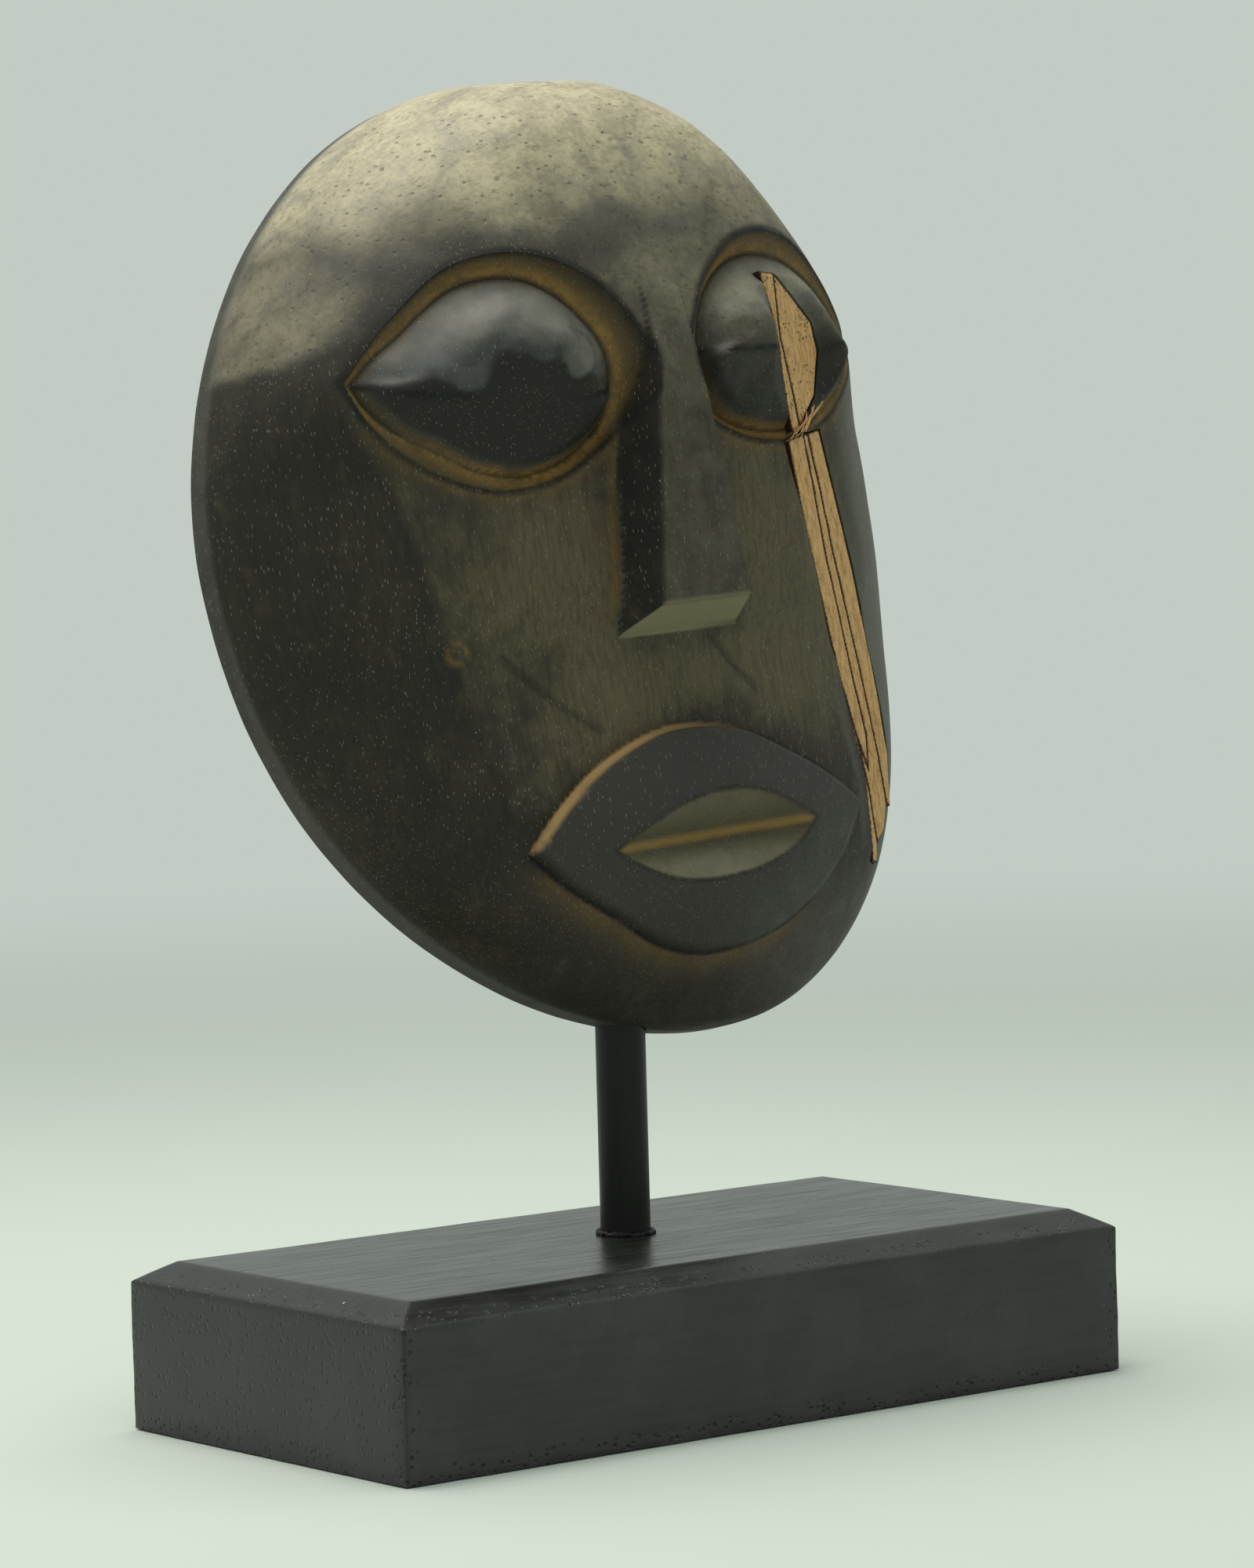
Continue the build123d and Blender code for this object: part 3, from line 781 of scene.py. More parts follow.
def mouth_wear(carving, u, w):
    """Paint on the lips and in the mouth, with a painted highlight on the upper lip's edge, painted shade along
    the other lip edges and painted light and shade on the mouth's two halves, and the haze of ochre below the
    lips.
    """
    lips = signed_distance(carving.lips, u, w)
    mouth = signed_distance(carving.mouth, u, w)
    in_lips = smooth_step(lips, 0.3, -0.3)
    upper_left = smooth_step(w, 41.6, 43.5) * smooth_step(u, 26, -8)
    merged = smooth_step(u - 0.3 * (w - 40), 52, 34)
    # Painted highlight on the upper left edge of the upper lip, over its worn ochre; painted shade as a dark
    # line along the other lip edges.
    lip_edge_ochre_and_highlight = smooth_step(lips, -1.2, -0.6) * smooth_step(lips, 0.5, 0.1) * upper_left
    lip_shade_line = smooth_step(np.abs(lips - 0.1), 0.8, 0.1) * (1 - upper_left) * merged
    line = np.maximum(lip_shade_line, smooth_step(np.abs(mouth - 0.1), 0.8, 0.1) * 0.7)
    to_middle, _ = distance_to(carving.mouth_middle, u, w, closed=False)
    middle_line = smooth_step(to_middle, 1.5, 0.1) * smooth_step(-mouth, 0.0, 1.2)
    below_middle = w < np.interp(u, carving.mouth_middle[:, 0], carving.mouth_middle[:, 1])
    haze = smooth_step(lips, 8, 0.3) * smooth_step(w, 42, 34) * smooth_step(u, 42, 20) * (lips > 0)
    # Painted light: the lower half of the mouth, facing up, is painted lighter than the shaded upper half.
    mouth_lower_light = smooth_step(to_middle, 1.0, 6.5) * np.where(below_middle, 1.0, 0.35)
    layers = {
        "seam_and_shade": line,
        "lip": smooth_step(-lips, 0.2, 1.2),
        "lip_rim": lip_edge_ochre_and_highlight,
        "mouth": smooth_step(mouth, 0.25, -0.25),
        "mouth_lower_light": mouth_lower_light * smooth_step(u, 34, 8),
        "mouth_middle": middle_line,
    }
    return layers, in_lips, haze


def cheek_wear(carving, u, w):
    """Painted shade along the cheek creases, a knot on the cheeks, rubbed places, the cheek painted lighter past
    its edge and the nose's foot.
    """
    line = np.zeros_like(u)
    # Painted shade along the cheek creases.
    for cheek_line in carving.cheek_lines:
        to_line, _ = distance_to(cheek_line, u, w, closed=False)
        line = np.maximum(line, 0.55 * smooth_step(to_line, 1.6, 0.1))
    knot_u, knot_w, knot_radius = KNOT
    knot = smooth_step(np.abs(np.hypot(u - knot_u, w - knot_w) - knot_radius + 0.6), 1.1, 0.2)
    worn = sum(
        strength * np.exp(-(((u - worn_u) / across) ** 2) - ((w - worn_w) / up) ** 2)
        for worn_u, worn_w, across, up, strength in WORN_PLACES
    )
    heights, halves, _ = np.array(NOSE).T[:, :5]
    foot_u = -np.interp(w, heights, halves + carving.nose_reach(-1))
    beside_nose = smooth_step(np.abs(u - foot_u + 1.6), 2.6, 0.4)
    beside_nose = beside_nose * smooth_step(w, 84, 96) * smooth_step(w, 136, 118)
    to_cheek_edge, _ = distance_to(carving.cheek_edge, u, w, closed=False)
    right_of_edge = u > np.interp(w, carving.cheek_edge[::-1, 1], carving.cheek_edge[::-1, 0])
    past_edge = np.where(right_of_edge, to_cheek_edge, -to_cheek_edge)
    thin = smooth_step(past_edge, -0.6, 2.5) * smooth_step(w, 146, 138) * smooth_step(w, 44, 84)
    return line, knot, np.clip(worn, 0, 1), beside_nose, thin


def brow_wear(u, w, near_socket):
    """The rubbed forehead, the smears across it and the painted shade above the left socket."""
    brow = w - 0.16 * np.clip(-u - 32, 0, 60) + 3 * ripple(u, w, 30, 41)
    pale = smooth_step(brow, 150, 203)
    left_patch = smooth_step(w + 3 * ripple(u, w, 18, 42), 151, 157) * smooth_step(-u, 52, 70)
    # Painted shade above the upper left edge of the left socket: it darkens the pale forehead and is laid in
    # with the smears.
    shadow = smooth_step(near_socket, 9, 2) * smooth_step(-u, 14, 30) * smooth_step(w, 140, 152)
    left_patch = 0.38 * left_patch
    pale = np.where(w < 157, left_patch, np.maximum(pale, left_patch)) * (1 - 0.6 * shadow)
    pale = np.maximum(pale, 0.34 * smooth_step(w, 122, 160) * smooth_step(u, -36, -12) * (1 - shadow))
    off_smear = np.abs(w - 172 - 0.25 * u - 4 * ripple(u, w, 34, 43))
    smear_and_shade = smooth_step(off_smear, 5, 1) * smooth_step(np.abs(u + 12), 42, 22)
    return pale, np.maximum(0.6 * smear_and_shade, 0.5 * shadow)


def write_wear(made, carving, u, w, depth, front, in_hollow):
    """Where the paint of the mask is pale, ochre, dark, grey or bare, and where light and shade are painted into
    it.
    """
    eyes, near_socket = eye_wear(carving, u, w)
    mouth, in_lips, haze = mouth_wear(carving, u, w)
    cheek_line, knot, worn, beside_nose, thin = cheek_wear(carving, u, w)
    pale, smear_and_shade = brow_wear(u, w, near_socket)
    # The nose's side walls get painted shade and its front a painted highlight; its lighter underside is paint.
    wall, under, ridge = carving.nose_paint(u, w)
    groove = np.maximum(eyes["groove"], 0.42 * beside_nose)
    ochre = np.maximum(eyes["ochre"], 0.55 * beside_nose)
    layers = {
        **eyes,
        **mouth,
        "pale": pale * (1 - wall) * (1 - groove),
        "smear_and_shade": smear_and_shade * (1 - groove),
        "ochre": np.maximum(np.maximum(ochre, 0.5 * haze), 0.8 * knot),
        "groove": np.maximum(np.maximum(groove, 0.5 * haze), 0.7 * knot),
        "seam_and_shade": np.maximum(np.maximum(eyes["seam_and_shade"], mouth["seam_and_shade"]), cheek_line),
        "wall": wall,
        "under": under,
        "ridge": ridge,
        "worn": worn * (1 - in_lips),
        "thin": thin * (1 - in_lips) * (1 - wall),
        # Painted light: the far right side is painted a lit grey, as if lit from behind, with a faint grey low
        # on the chin.
        "side": np.maximum(smooth_step(u, 55, 70), 0.2 * smooth_step(w, 34, 14)),
    }
    for name, values in layers.items():
        paint(made, name, values * front)
    paint(made, "hollow", in_hollow * 1.0)
    paint(made, "rim", np.where(front, smooth_step(depth, BAND + 2.0, BAND), 1 - in_hollow))


def wavered(points):
    """Slip outlines run a little unevenly, as split wood does."""
    x, y = points.T
    return np.column_stack([x + 0.16 * ripple(x, y, 14, 3), y])


def build_slip(name, carving, material):
    """One thin slip of bare wood, with worn edges and a fine grain."""
    points = np.asarray(SLIPS[name], float)
    rim = wavered(curve_through(points, corners=range(len(points)), step=0.5))
    tangent = np.roll(rim, -1, axis=0) - np.roll(rim, 1, axis=0)
    tangent /= np.maximum(np.linalg.norm(tangent, axis=1), 1e-9)[:, None]
    area = np.sum(rim[:, 0] * np.roll(rim[:, 1], -1) - np.roll(rim[:, 0], -1) * rim[:, 1])
    inward = np.stack([-tangent[:, 1], tangent[:, 0]], axis=1) * np.sign(area)
    rim = rim + inward * 0.07
    flat, faces, rim_places = mesh_between(rim, [], 0.6)
    x, y = flat.T
    to_edge, _ = distance_to(rim, x, y)
    grain = ripple(x, y * 0.08, 1.9, 11) * 0.05 + ripple(x, y * 0.3, 5.0, 12) * 0.06
    top = grain - 0.3 * np.clip(1 - to_edge / 0.55, 0, 1) ** 2
    u, w, d = carving.slip_point(x, y)
    low = d - SLIP_THICKNESS + 0.05
    count = len(x)
    bottom = {place: count + index for index, place in enumerate(rim_places)}
    points_u = np.concatenate([u, u[rim_places], u])
    points_w = np.concatenate([w, w[rim_places], w])
    points_d = np.concatenate([d + top, low[rim_places], low])
    around = len(rim_places)
    made_faces = [tuple(face) for face in faces]
    made_faces += band_of_faces(rim_places, range(count, count + around))
    to_low = {index: (bottom[index] if index in bottom else count + around + index) for index in range(count)}
    made_faces += [tuple(to_low[i] for i in reversed(face)) for face in faces]
    made = new_object("bare_" + name, place_carving(points_u, points_w, points_d), made_faces, [material])
    clean_mesh(made)
    return made, to_edge


def cut_bore(made, low, high, gap, start, beyond):
    """Cuts a round hole for the upright rod inside this box, with a gap round it and beyond its end."""
    tool = bpy.data.meshes.new("bore")
    mesh = bmesh.new()
    radius = (high.x - low.x) / 2 + gap
    bottom = (high.z if start else low.z) + start
    top = high.z + beyond
    centre = Vector(((low.x + high.x) / 2, (low.y + high.y) / 2, (bottom + top) / 2))
    bmesh.ops.create_cone(mesh, cap_ends=True, segments=BORE_SIDES, radius1=radius, radius2=radius,
                          depth=top - bottom, matrix=Matrix.Translation(centre))
    mesh.to_mesh(tool)
    mesh.free()
    rod = bpy.data.objects.new("bore", tool)
    bpy.context.scene.collection.objects.link(rod)
    cut = made.modifiers.new("bore", "BOOLEAN")
    cut.object = rod
    cut.operation = "DIFFERENCE"
    cut.solver = "EXACT"
    bpy.context.view_layer.update()
    result = bpy.data.meshes.new_from_object(made.evaluated_get(bpy.context.evaluated_depsgraph_get()))
    made.modifiers.remove(cut)
    made.data = result
    bpy.data.objects.remove(rod)
    bpy.data.meshes.remove(tool)


def clean_mesh(made):
    """Drops loose points and turns every face outward."""
    mesh = bmesh.new()
    mesh.from_mesh(made.data)
    bmesh.ops.delete(mesh, geom=[v for v in mesh.verts if not v.link_faces], context="VERTS")
    bmesh.ops.recalc_face_normals(mesh, faces=mesh.faces)
    mesh.to_mesh(made.data)
    mesh.free()


# ------------------------------------------------------------------ nodes
class Nodes:
    """Adds nodes to self.tree, which a material or a geometry node group holds."""

    def node(self, kind, inputs=(), **settings):
        made = self.tree.nodes.new(kind)
        for setting, value in settings.items():
            setattr(made, setting, value)
        for socket, value in dict(inputs).items():
            if isinstance(value, bpy.types.NodeSocket):
                self.tree.links.new(value, made.inputs[socket])
            else:
                made.inputs[socket].default_value = value
        return made

    def math(self, operation, a, b=0.0, clamp=False):
        return self.node("ShaderNodeMath", {0: a, 1: b}, operation=operation, use_clamp=clamp).outputs[0]


# ------------------------------------------------------------------ materials
class Finish(Nodes):
    """Builds one node material, a step at a time."""

    def __init__(self, name, **fixed):
        self.material = bpy.data.materials.new(name)
        self.material.use_nodes = True
        self.tree = self.material.node_tree
        self.tree.nodes.clear()
        output = self.tree.nodes.new("ShaderNodeOutputMaterial")
        self.surface = self.tree.nodes.new("ShaderNodeBsdfPrincipled")
        self.tree.links.new(self.surface.outputs[0], output.inputs["Surface"])
        for socket, value in fixed.items():
            self.surface.inputs[socket.replace("_", " ")].default_value = value

    def coordinates(self, stretch=(1, 1, 1), matrix=None):
        """Object coordinates, turned with the piece and stretched along its axes."""
        place = self.node("ShaderNodeTexCoord").outputs["Object"]
        inputs = {"Vector": place, "Scale": stretch}
        if matrix is not None:
            inputs["Location"] = matrix.to_translation()
            inputs["Rotation"] = matrix.to_euler("XYZ")
        return self.node("ShaderNodeMapping", inputs, vector_type="TEXTURE").outputs["Vector"]

    def noise(self, vector, size, detail=4.0, roughness=0.55, distortion=0.0):
        """Cloudy noise with patches of about this size, in millimetres."""
        inputs = {"Vector": vector, "Scale": 1 / (size * MM), "Detail": detail, "Roughness": roughness,
                  "Distortion": distortion}
        return self.node("ShaderNodeTexNoise", inputs).outputs["Fac"]

    def flecks(self, vector, size, reach, share):
        """Small marks, one in each chosen cell of this size, in millimetres."""
        cells = self.node("ShaderNodeTexVoronoi", {"Vector": vector, "Scale": 1 / (size * MM)})
        chance = self.node("ShaderNodeSeparateColor", {"Color": cells.outputs["Color"]}).outputs[0]
        near = self.step(cells.outputs["Distance"], reach, reach * 0.4)
        return self.math("MULTIPLY", near, self.step(chance, 1 - share, 1 - share * 0.8))

    def step(self, value, low, high, start=0.0, end=1.0):
        """Smooth change from start at low to end at high."""
        if low > high:
            low, high, start, end = high, low, end, start
        inputs = {"Value": value, "From Min": low, "From Max": high, "To Min": start, "To Max": end}
        return self.node("ShaderNodeMapRange", inputs, interpolation_type="SMOOTHSTEP").outputs["Result"]

    def product(self, *values):
        result = values[0]
        for value in values[1:]:
            result = self.math("MULTIPLY", result, value)
        return result

    def weighed(self, *terms):
        """Sum of values, each times its weight."""
        parts = [self.math("MULTIPLY", value, weight) for value, weight in terms]
        result = parts[0]
        for part in parts[1:]:
            result = self.math("ADD", result, part)
        return result

    def mix(self, factor, a, b):
        a, b = (value if isinstance(value, bpy.types.NodeSocket) else (*value, 1.0) for value in (a, b))
        return self.node("ShaderNodeMix", {0: factor, 6: a, 7: b}, data_type="RGBA").outputs[2]

    def coat(self, below, above, *shares):
        """Lays one colour over another, as thickly as the product of the shares."""
        return self.mix(self.product(*shares), below, above)

    def layer(self, name):
        return self.node("ShaderNodeAttribute", attribute_name=name).outputs["Fac"]

    def bump(self, height, distance, strength=1.0, normal=None):
        inputs = {"Height": height, "Distance": distance * MM, "Strength": strength}
        if normal is not None:
            inputs["Normal"] = normal
        return self.node("ShaderNodeBump", inputs).outputs["Normal"]

    def finish(self, colour=None, roughness=None, normal=None):
        for socket, value in (("Base Color", colour), ("Roughness", roughness), ("Normal", normal)):
            if value is not None:
                self.tree.links.new(value, self.surface.inputs[socket])
        return self.material


class AntiquedWood(Finish):
    """Dark stain over carved wood, rubbed pale on the forehead and left ochre in the cuts, with light and shade
    painted on the eyes, nose, lips, mouth, cheeks and far side.
    """

    def __init__(self, colours):
        super().__init__("antiqued_wood", Specular_IOR_Level=0.22)
        self.colours = colours
        matrix = carving_matrix()
        self.plain = self.coordinates(matrix=matrix)
        self.checked = self.coordinates((2.2, 1, 1), matrix)
        grain = self.coordinates((1, 1, 12), matrix)
        fleck = self.coordinates((1, 1, 5), matrix)
        self.cloud = self.noise(self.plain, 24, 4, 0.6, 0.4)
        self.patch = self.noise(self.plain, 8, 5, 0.62, 0.5)
        self.fine = self.noise(self.plain, 1.4, 4, 0.65)
        self.streak = self.noise(grain, 0.9, 4, 0.65)
        self.broad_streak = self.noise(grain, 3.4, 4, 0.6)
        self.pits = self.flecks(self.plain, 2.1, 0.3, 0.4)
        coarse_pores, fine_pores = self.flecks(fleck, 0.75, 0.17, 0.8), self.flecks(fleck, 0.55, 0.2, 0.6)
        self.pores = self.math("MAXIMUM", coarse_pores, fine_pores)

    def patchy(self, low, high, start, end):
        """A share that varies from patch to patch."""
        return self.step(self.patch, low, high, start, end)

    def stain(self):
        """The stain over the whole face, worn thin in places and streaked along the grain."""
        colours = self.colours
        colour = self.mix(self.step(self.cloud, 0.35, 0.7, 0.0, 0.6), colours.dark_stain, colours.brown_stain)
        thin, worn = self.layer("thin"), self.layer("worn")
        rubbing = self.weighed((self.patch, 0.9), (self.broad_streak, 0.35), (worn, 0.5), (thin, 0.16))
        colour = self.coat(colour, colours.worn_stain, self.step(rubbing, 0.62, 1.2, 0.0, 0.95))
        colour = self.coat(colour, colours.worn_stain, thin, 0.2)
        colour = self.coat(colour, colours.deep_stain_and_shade, self.step(self.streak, 0.42, 0.68, 0.0, 0.35))
        # Painted light on the far right side, over its dusty grey.
        return self.coat(colour, colours.side_grey_and_backlight, self.layer("side"), 0.55)

    def features(self, colour):
        """Smooth lips and eyeballs, painted light on the upper part of the eyeballs (the eyelids), and a painted
        highlight on the front of the nose.
        """
        colours = self.colours
        eyeball = self.layer("eyeball")
        colour = self.coat(colour, colours.lip_stain, self.math("MAXIMUM", self.layer("lip"), eyeball), 0.85)
        colour = self.coat(colour, colours.deep_stain_and_shade, eyeball, 0.68)
        # Painted light on the upper part of the eyeballs, then on their lit upper facet.
        colour = self.coat(colour, colours.smudge_and_painted_light, self.layer("pool"), self.patchy(0.3, 0.65, 0.4, 0.9))
        lid_tone = self.mix(self.step(self.cloud, 0.35, 0.65), colours.lid_grey, colours.lid_highlight_grey)
        colour = self.coat(colour, lid_tone, self.layer("lit_lid"), self.patchy(0.2, 0.6, 0.5, 0.85))
        # Painted highlight on the front of the nose, where it faces the light.
        return self.coat(colour, colours.ridge_highlight, self.layer("ridge"), self.patchy(0.3, 0.7, 0.1, 0.6))

    def forehead(self, colour):
        """Pale rubbed wood with fine cracks, pits and cloudy smudges."""
        colours = self.colours
        pale = self.layer("pale")
        mottle = self.weighed((self.fine, 0.45), (self.patch, 0.55))
        rubbed = self.mix(self.step(mottle, 0.38, 0.62), colours.pale_shadow, colours.pale_rub)
        smudge = self.step(self.noise(self.plain, 20, 4, 0.6, 1.0), 0.48, 0.68)
        rubbed = self.coat(rubbed, colours.smudge_and_painted_light, smudge, 0.38)
        checks = self.noise(self.checked, 1.7, 6, 0.8)
        rubbed = self.coat(rubbed, colours.check_brown, self.step(checks, 0.52, 0.66, 0.0, 0.6))
        rubbed = self.coat(rubbed, colours.deep_stain_and_shade, self.pits, 0.35)
        # Smears, with the painted shade above the left socket.
        rubbed = self.coat(rubbed, colours.smudge_and_painted_light, self.layer("smear_and_shade"), self.patchy(0.3, 0.6, 0.5, 1.0))
        rub = self.weighed((pale, 1.0), (self.math("SUBTRACT", self.cloud, 0.5), 0.7))
        return self.coat(colour, rubbed, self.step(rub, 0.0, 1.0), self.step(pale, 0.0, 0.1))

    def cuts(self, colour):
        """Ochre in the grooves, painted shade on the nose's walls, its underside, the mouth with its painted
        light and shade, the creases with painted shade, the upper lip's edge with its painted highlight, and the
        rim.
        """
        colours = self.colours
        stained = self.step(self.weighed((self.fine, 0.5), (self.patch, 0.5)), 0.38, 0.6, 0.35, 1.0)
        ochre = self.coat(colours.ochre_dark, colours.ochre, self.layer("ochre"), stained)
        # Painted shade on the mouth's upper half and painted light on its lower half.
        inner = self.mix(self.layer("mouth_lower_light"), colours.mouth_shaded, colours.mouth_lit)
        inner = self.coat(inner, colours.worn_stain, self.patchy(0.35, 0.7, 0.0, 0.5))
        inside = self.step(self.broad_streak, 0.35, 0.7, 0.0, 0.7)
        inside = self.mix(inside, colours.hollow_wood, colours.brown_stain)
        for above, name, share in (
            (ochre, "groove", self.patchy(0.2, 0.5, 0.75, 1.0)),
            # Painted shade on the nose's side walls.
            (colours.deep_stain_and_shade, "wall", self.patchy(0.2, 0.7, 0.95, 0.6)),
            (colours.under_nose, "under", 0.85),
            (inner, "mouth", 0.95),
            (colours.ochre, "mouth_middle", 0.8),
            # Worn ochre on the upper lip's edge, with a painted highlight where it faces up.
            (colours.lip_edge_ochre_and_highlight, "lip_rim", self.patchy(0.2, 0.5, 0.5, 1.0)),
            # Dark seams and lines, with painted shade in the sockets, along the cheek creases and along the
            # lower lip edges.
            (colours.deep_stain_and_shade, "seam_and_shade", self.patchy(0.25, 0.6, 0.6, 1.0)),
            (colours.lid_grey, "rim", self.patchy(0.3, 0.7, 0.25, 0.6)),
            (inside, "hollow", 1.0),
        ):
            colour = self.coat(colour, above, self.layer(name), share)
        return colour

    def make(self):
        colour = self.cuts(self.forehead(self.features(self.stain())))
        few = self.math("SUBTRACT", 1.0, self.math("MAXIMUM", self.layer("pale"), self.layer("under")))
        few = self.math("SUBTRACT", few, self.layer("hollow"), clamp=True)
        clouded = self.step(self.cloud, 0.3, 0.6, 0.3, 0.6)
        colour = self.coat(colour, self.colours.pore, self.pores, few, clouded)
        colour = self.mix(self.flecks(self.plain, 4.2, 0.04, 0.3), colour, DUST)
        roughness = self.step(self.weighed((self.patch, 1.0), (self.fine, 0.3)), 0.4, 0.9, 0.45, 0.62)
        normal = self.bump(self.streak, 0.1, 0.45)
        normal = self.bump(self.product(self.pits, self.layer("pale")), -0.22, 0.8, normal)
        normal = self.bump(self.pores, 0.06, 0.5, normal)
        return self.finish(colour, roughness, self.bump(self.fine, 0.1, 0.3, normal))


def bare_wood(colours):
    """Pale split wood with darker grain, spalt specks and scorched edges."""
    wood = Finish("bare_wood", Specular_IOR_Level=0.35)
    matrix = carving_matrix()
    flow = Matrix.Rotation(math.radians(-14), 4, "Y")
    plain = wood.coordinates(matrix=matrix)
    grain = wood.coordinates((1, 1, 22), matrix @ flow)
    streak = wood.noise(grain, 0.8, 4, 0.6)
    broad = wood.noise(grain, 3.2, 3, 0.5)
    fine = wood.noise(plain, 0.8, 4, 0.7)
    colour = wood.mix(wood.step(streak, 0.35, 0.7), colours.bare_light, colours.bare_dark)
    colour = wood.mix(wood.step(broad, 0.45, 0.7, 0.0, 0.5), colour, colours.bare_light)
    colour = wood.mix(wood.step(fine, 0.6, 0.8, 0.0, 0.3), colour, colours.bare_dark)
    specks = wood.product(wood.flecks(plain, 0.8, 0.5, 0.6), wood.step(wood.noise(plain, 5, 3), 0.44, 0.56))
    colour = wood.coat(colour, colours.scorch, specks, wood.layer("spalt"))
    edge = wood.layer("edge")
    burnt = wood.step(wood.weighed((edge, 1.0), (wood.math("SUBTRACT", fine, 0.5), 0.7)), 0.3, 0.85)
    colour = wood.coat(colour, colours.scorch, burnt, wood.step(edge, 0.02, 0.2))
    normal = wood.bump(streak, 0.12, 0.6)
    normal = wood.bump(fine, 0.08, 0.4, normal)
    return wood.finish(colour, wood.step(streak, 0.2, 0.8, 0.55, 0.75), normal)


def charcoal_paint(colours):
    """Matt charcoal paint brushed along the block, thin and pitted on the end grain."""
    paint = Finish("charcoal_paint", Specular_IOR_Level=0.5)
    plain = paint.coordinates()
    brushed = paint.coordinates((16, 1, 1))
    across = paint.noise(brushed, 1.6, 3, 0.6)
    cloud = paint.noise(plain, 24, 4, 0.6)
    fine = paint.noise(plain, 0.9, 4, 0.7)
    colour = paint.mix(paint.step(across, 0.3, 0.7), colours.charcoal_dark, colours.charcoal)
    colour = paint.mix(paint.step(cloud, 0.4, 0.75, 0.0, 0.5), colour, colours.charcoal_light)
    ends = paint.layer("end_grain")
    colour = paint.coat(colour, colours.charcoal_dark, ends, 0.5)
    pits = paint.flecks(plain, 1.5, 0.42, 0.6)
    wear = paint.step(paint.math("ADD", paint.noise(plain, 11, 4, 0.65), paint.layer("corner")), 0.55, 0.95)
    pitted = paint.product(pits, paint.math("MAXIMUM", wear, paint.product(ends, 0.3)))
    colour = paint.coat(colour, END_WEAR, wear, ends, 0.6)
    colour = paint.mix(pitted, colour, PIT_BLACK)
    scuffed = paint.step(paint.layer("corner"), 0.35, 0.9)
    colour = paint.coat(colour, colours.charcoal_light, paint.step(fine, 0.55, 0.75), scuffed, 0.5)
    colour = paint.mix(paint.flecks(plain, 8.5, 0.05, 0.4), colour, BLOCK_DUST)
    roughness = paint.step(across, 0.3, 0.8, 0.24, 0.38)
    normal = paint.bump(across, 0.06, 0.4)
    normal = paint.bump(pitted, -0.5, 1.0, normal)
    normal = paint.bump(fine, 0.1, 0.4, normal)
    return paint.finish(colour, roughness, normal)


def black_paint():
    """Satin black paint on the post, with faint runs along it."""
    paint = Finish("black_paint", Specular_IOR_Level=0.25)
    along = paint.coordinates((1, 1, 14))
    plain = paint.coordinates()
    runs = paint.noise(along, 2.0, 3, 0.6)
    fine = paint.noise(plain, 0.8, 4, 0.7)
    colour = paint.mix(paint.step(runs, 0.3, 0.7), *POST_BLACKS)
    colour = paint.mix(paint.flecks(plain, 5.5, 0.05, 0.3), colour, POST_DUST)
    normal = paint.bump(fine, 0.08, 0.5)
    return paint.finish(colour, paint.step(runs, 0.2, 0.8, 0.34, 0.52), paint.bump(runs, 0.1, 0.4, normal))


def drawn_steel():
    """Plain drawn steel of the pin."""
    steel = Finish("drawn_steel", Metallic=1.0)
    lines = steel.noise(steel.coordinates((1, 1, 30)), 0.5, 3, 0.6)
    colour = steel.mix(lines, *STEEL_GREYS)
    return steel.finish(colour, steel.step(lines, 0.2, 0.8, 0.28, 0.42), steel.bump(lines, 0.02, 0.5))


def pale_ground(name, colour, glow):
    """Plain pale floor that brightens into the light all round, so that it has no edge."""
    ground = Finish(name, Roughness=1.0, Specular_IOR_Level=0.0)
    place = ground.coordinates()
    away = ground.node("ShaderNodeVectorMath", {0: place}, operation="LENGTH").outputs["Value"]
    far = ground.step(away, *FLOOR_FADE)
    shown = ground.mix(far, colour, BLACK)
    bright = ground.mix(far, BLACK, glow)
    ground.surface.inputs["Emission Strength"].default_value = 1.0
    ground.tree.links.new(bright, ground.surface.inputs["Emission Color"])
    return ground.finish(shown)


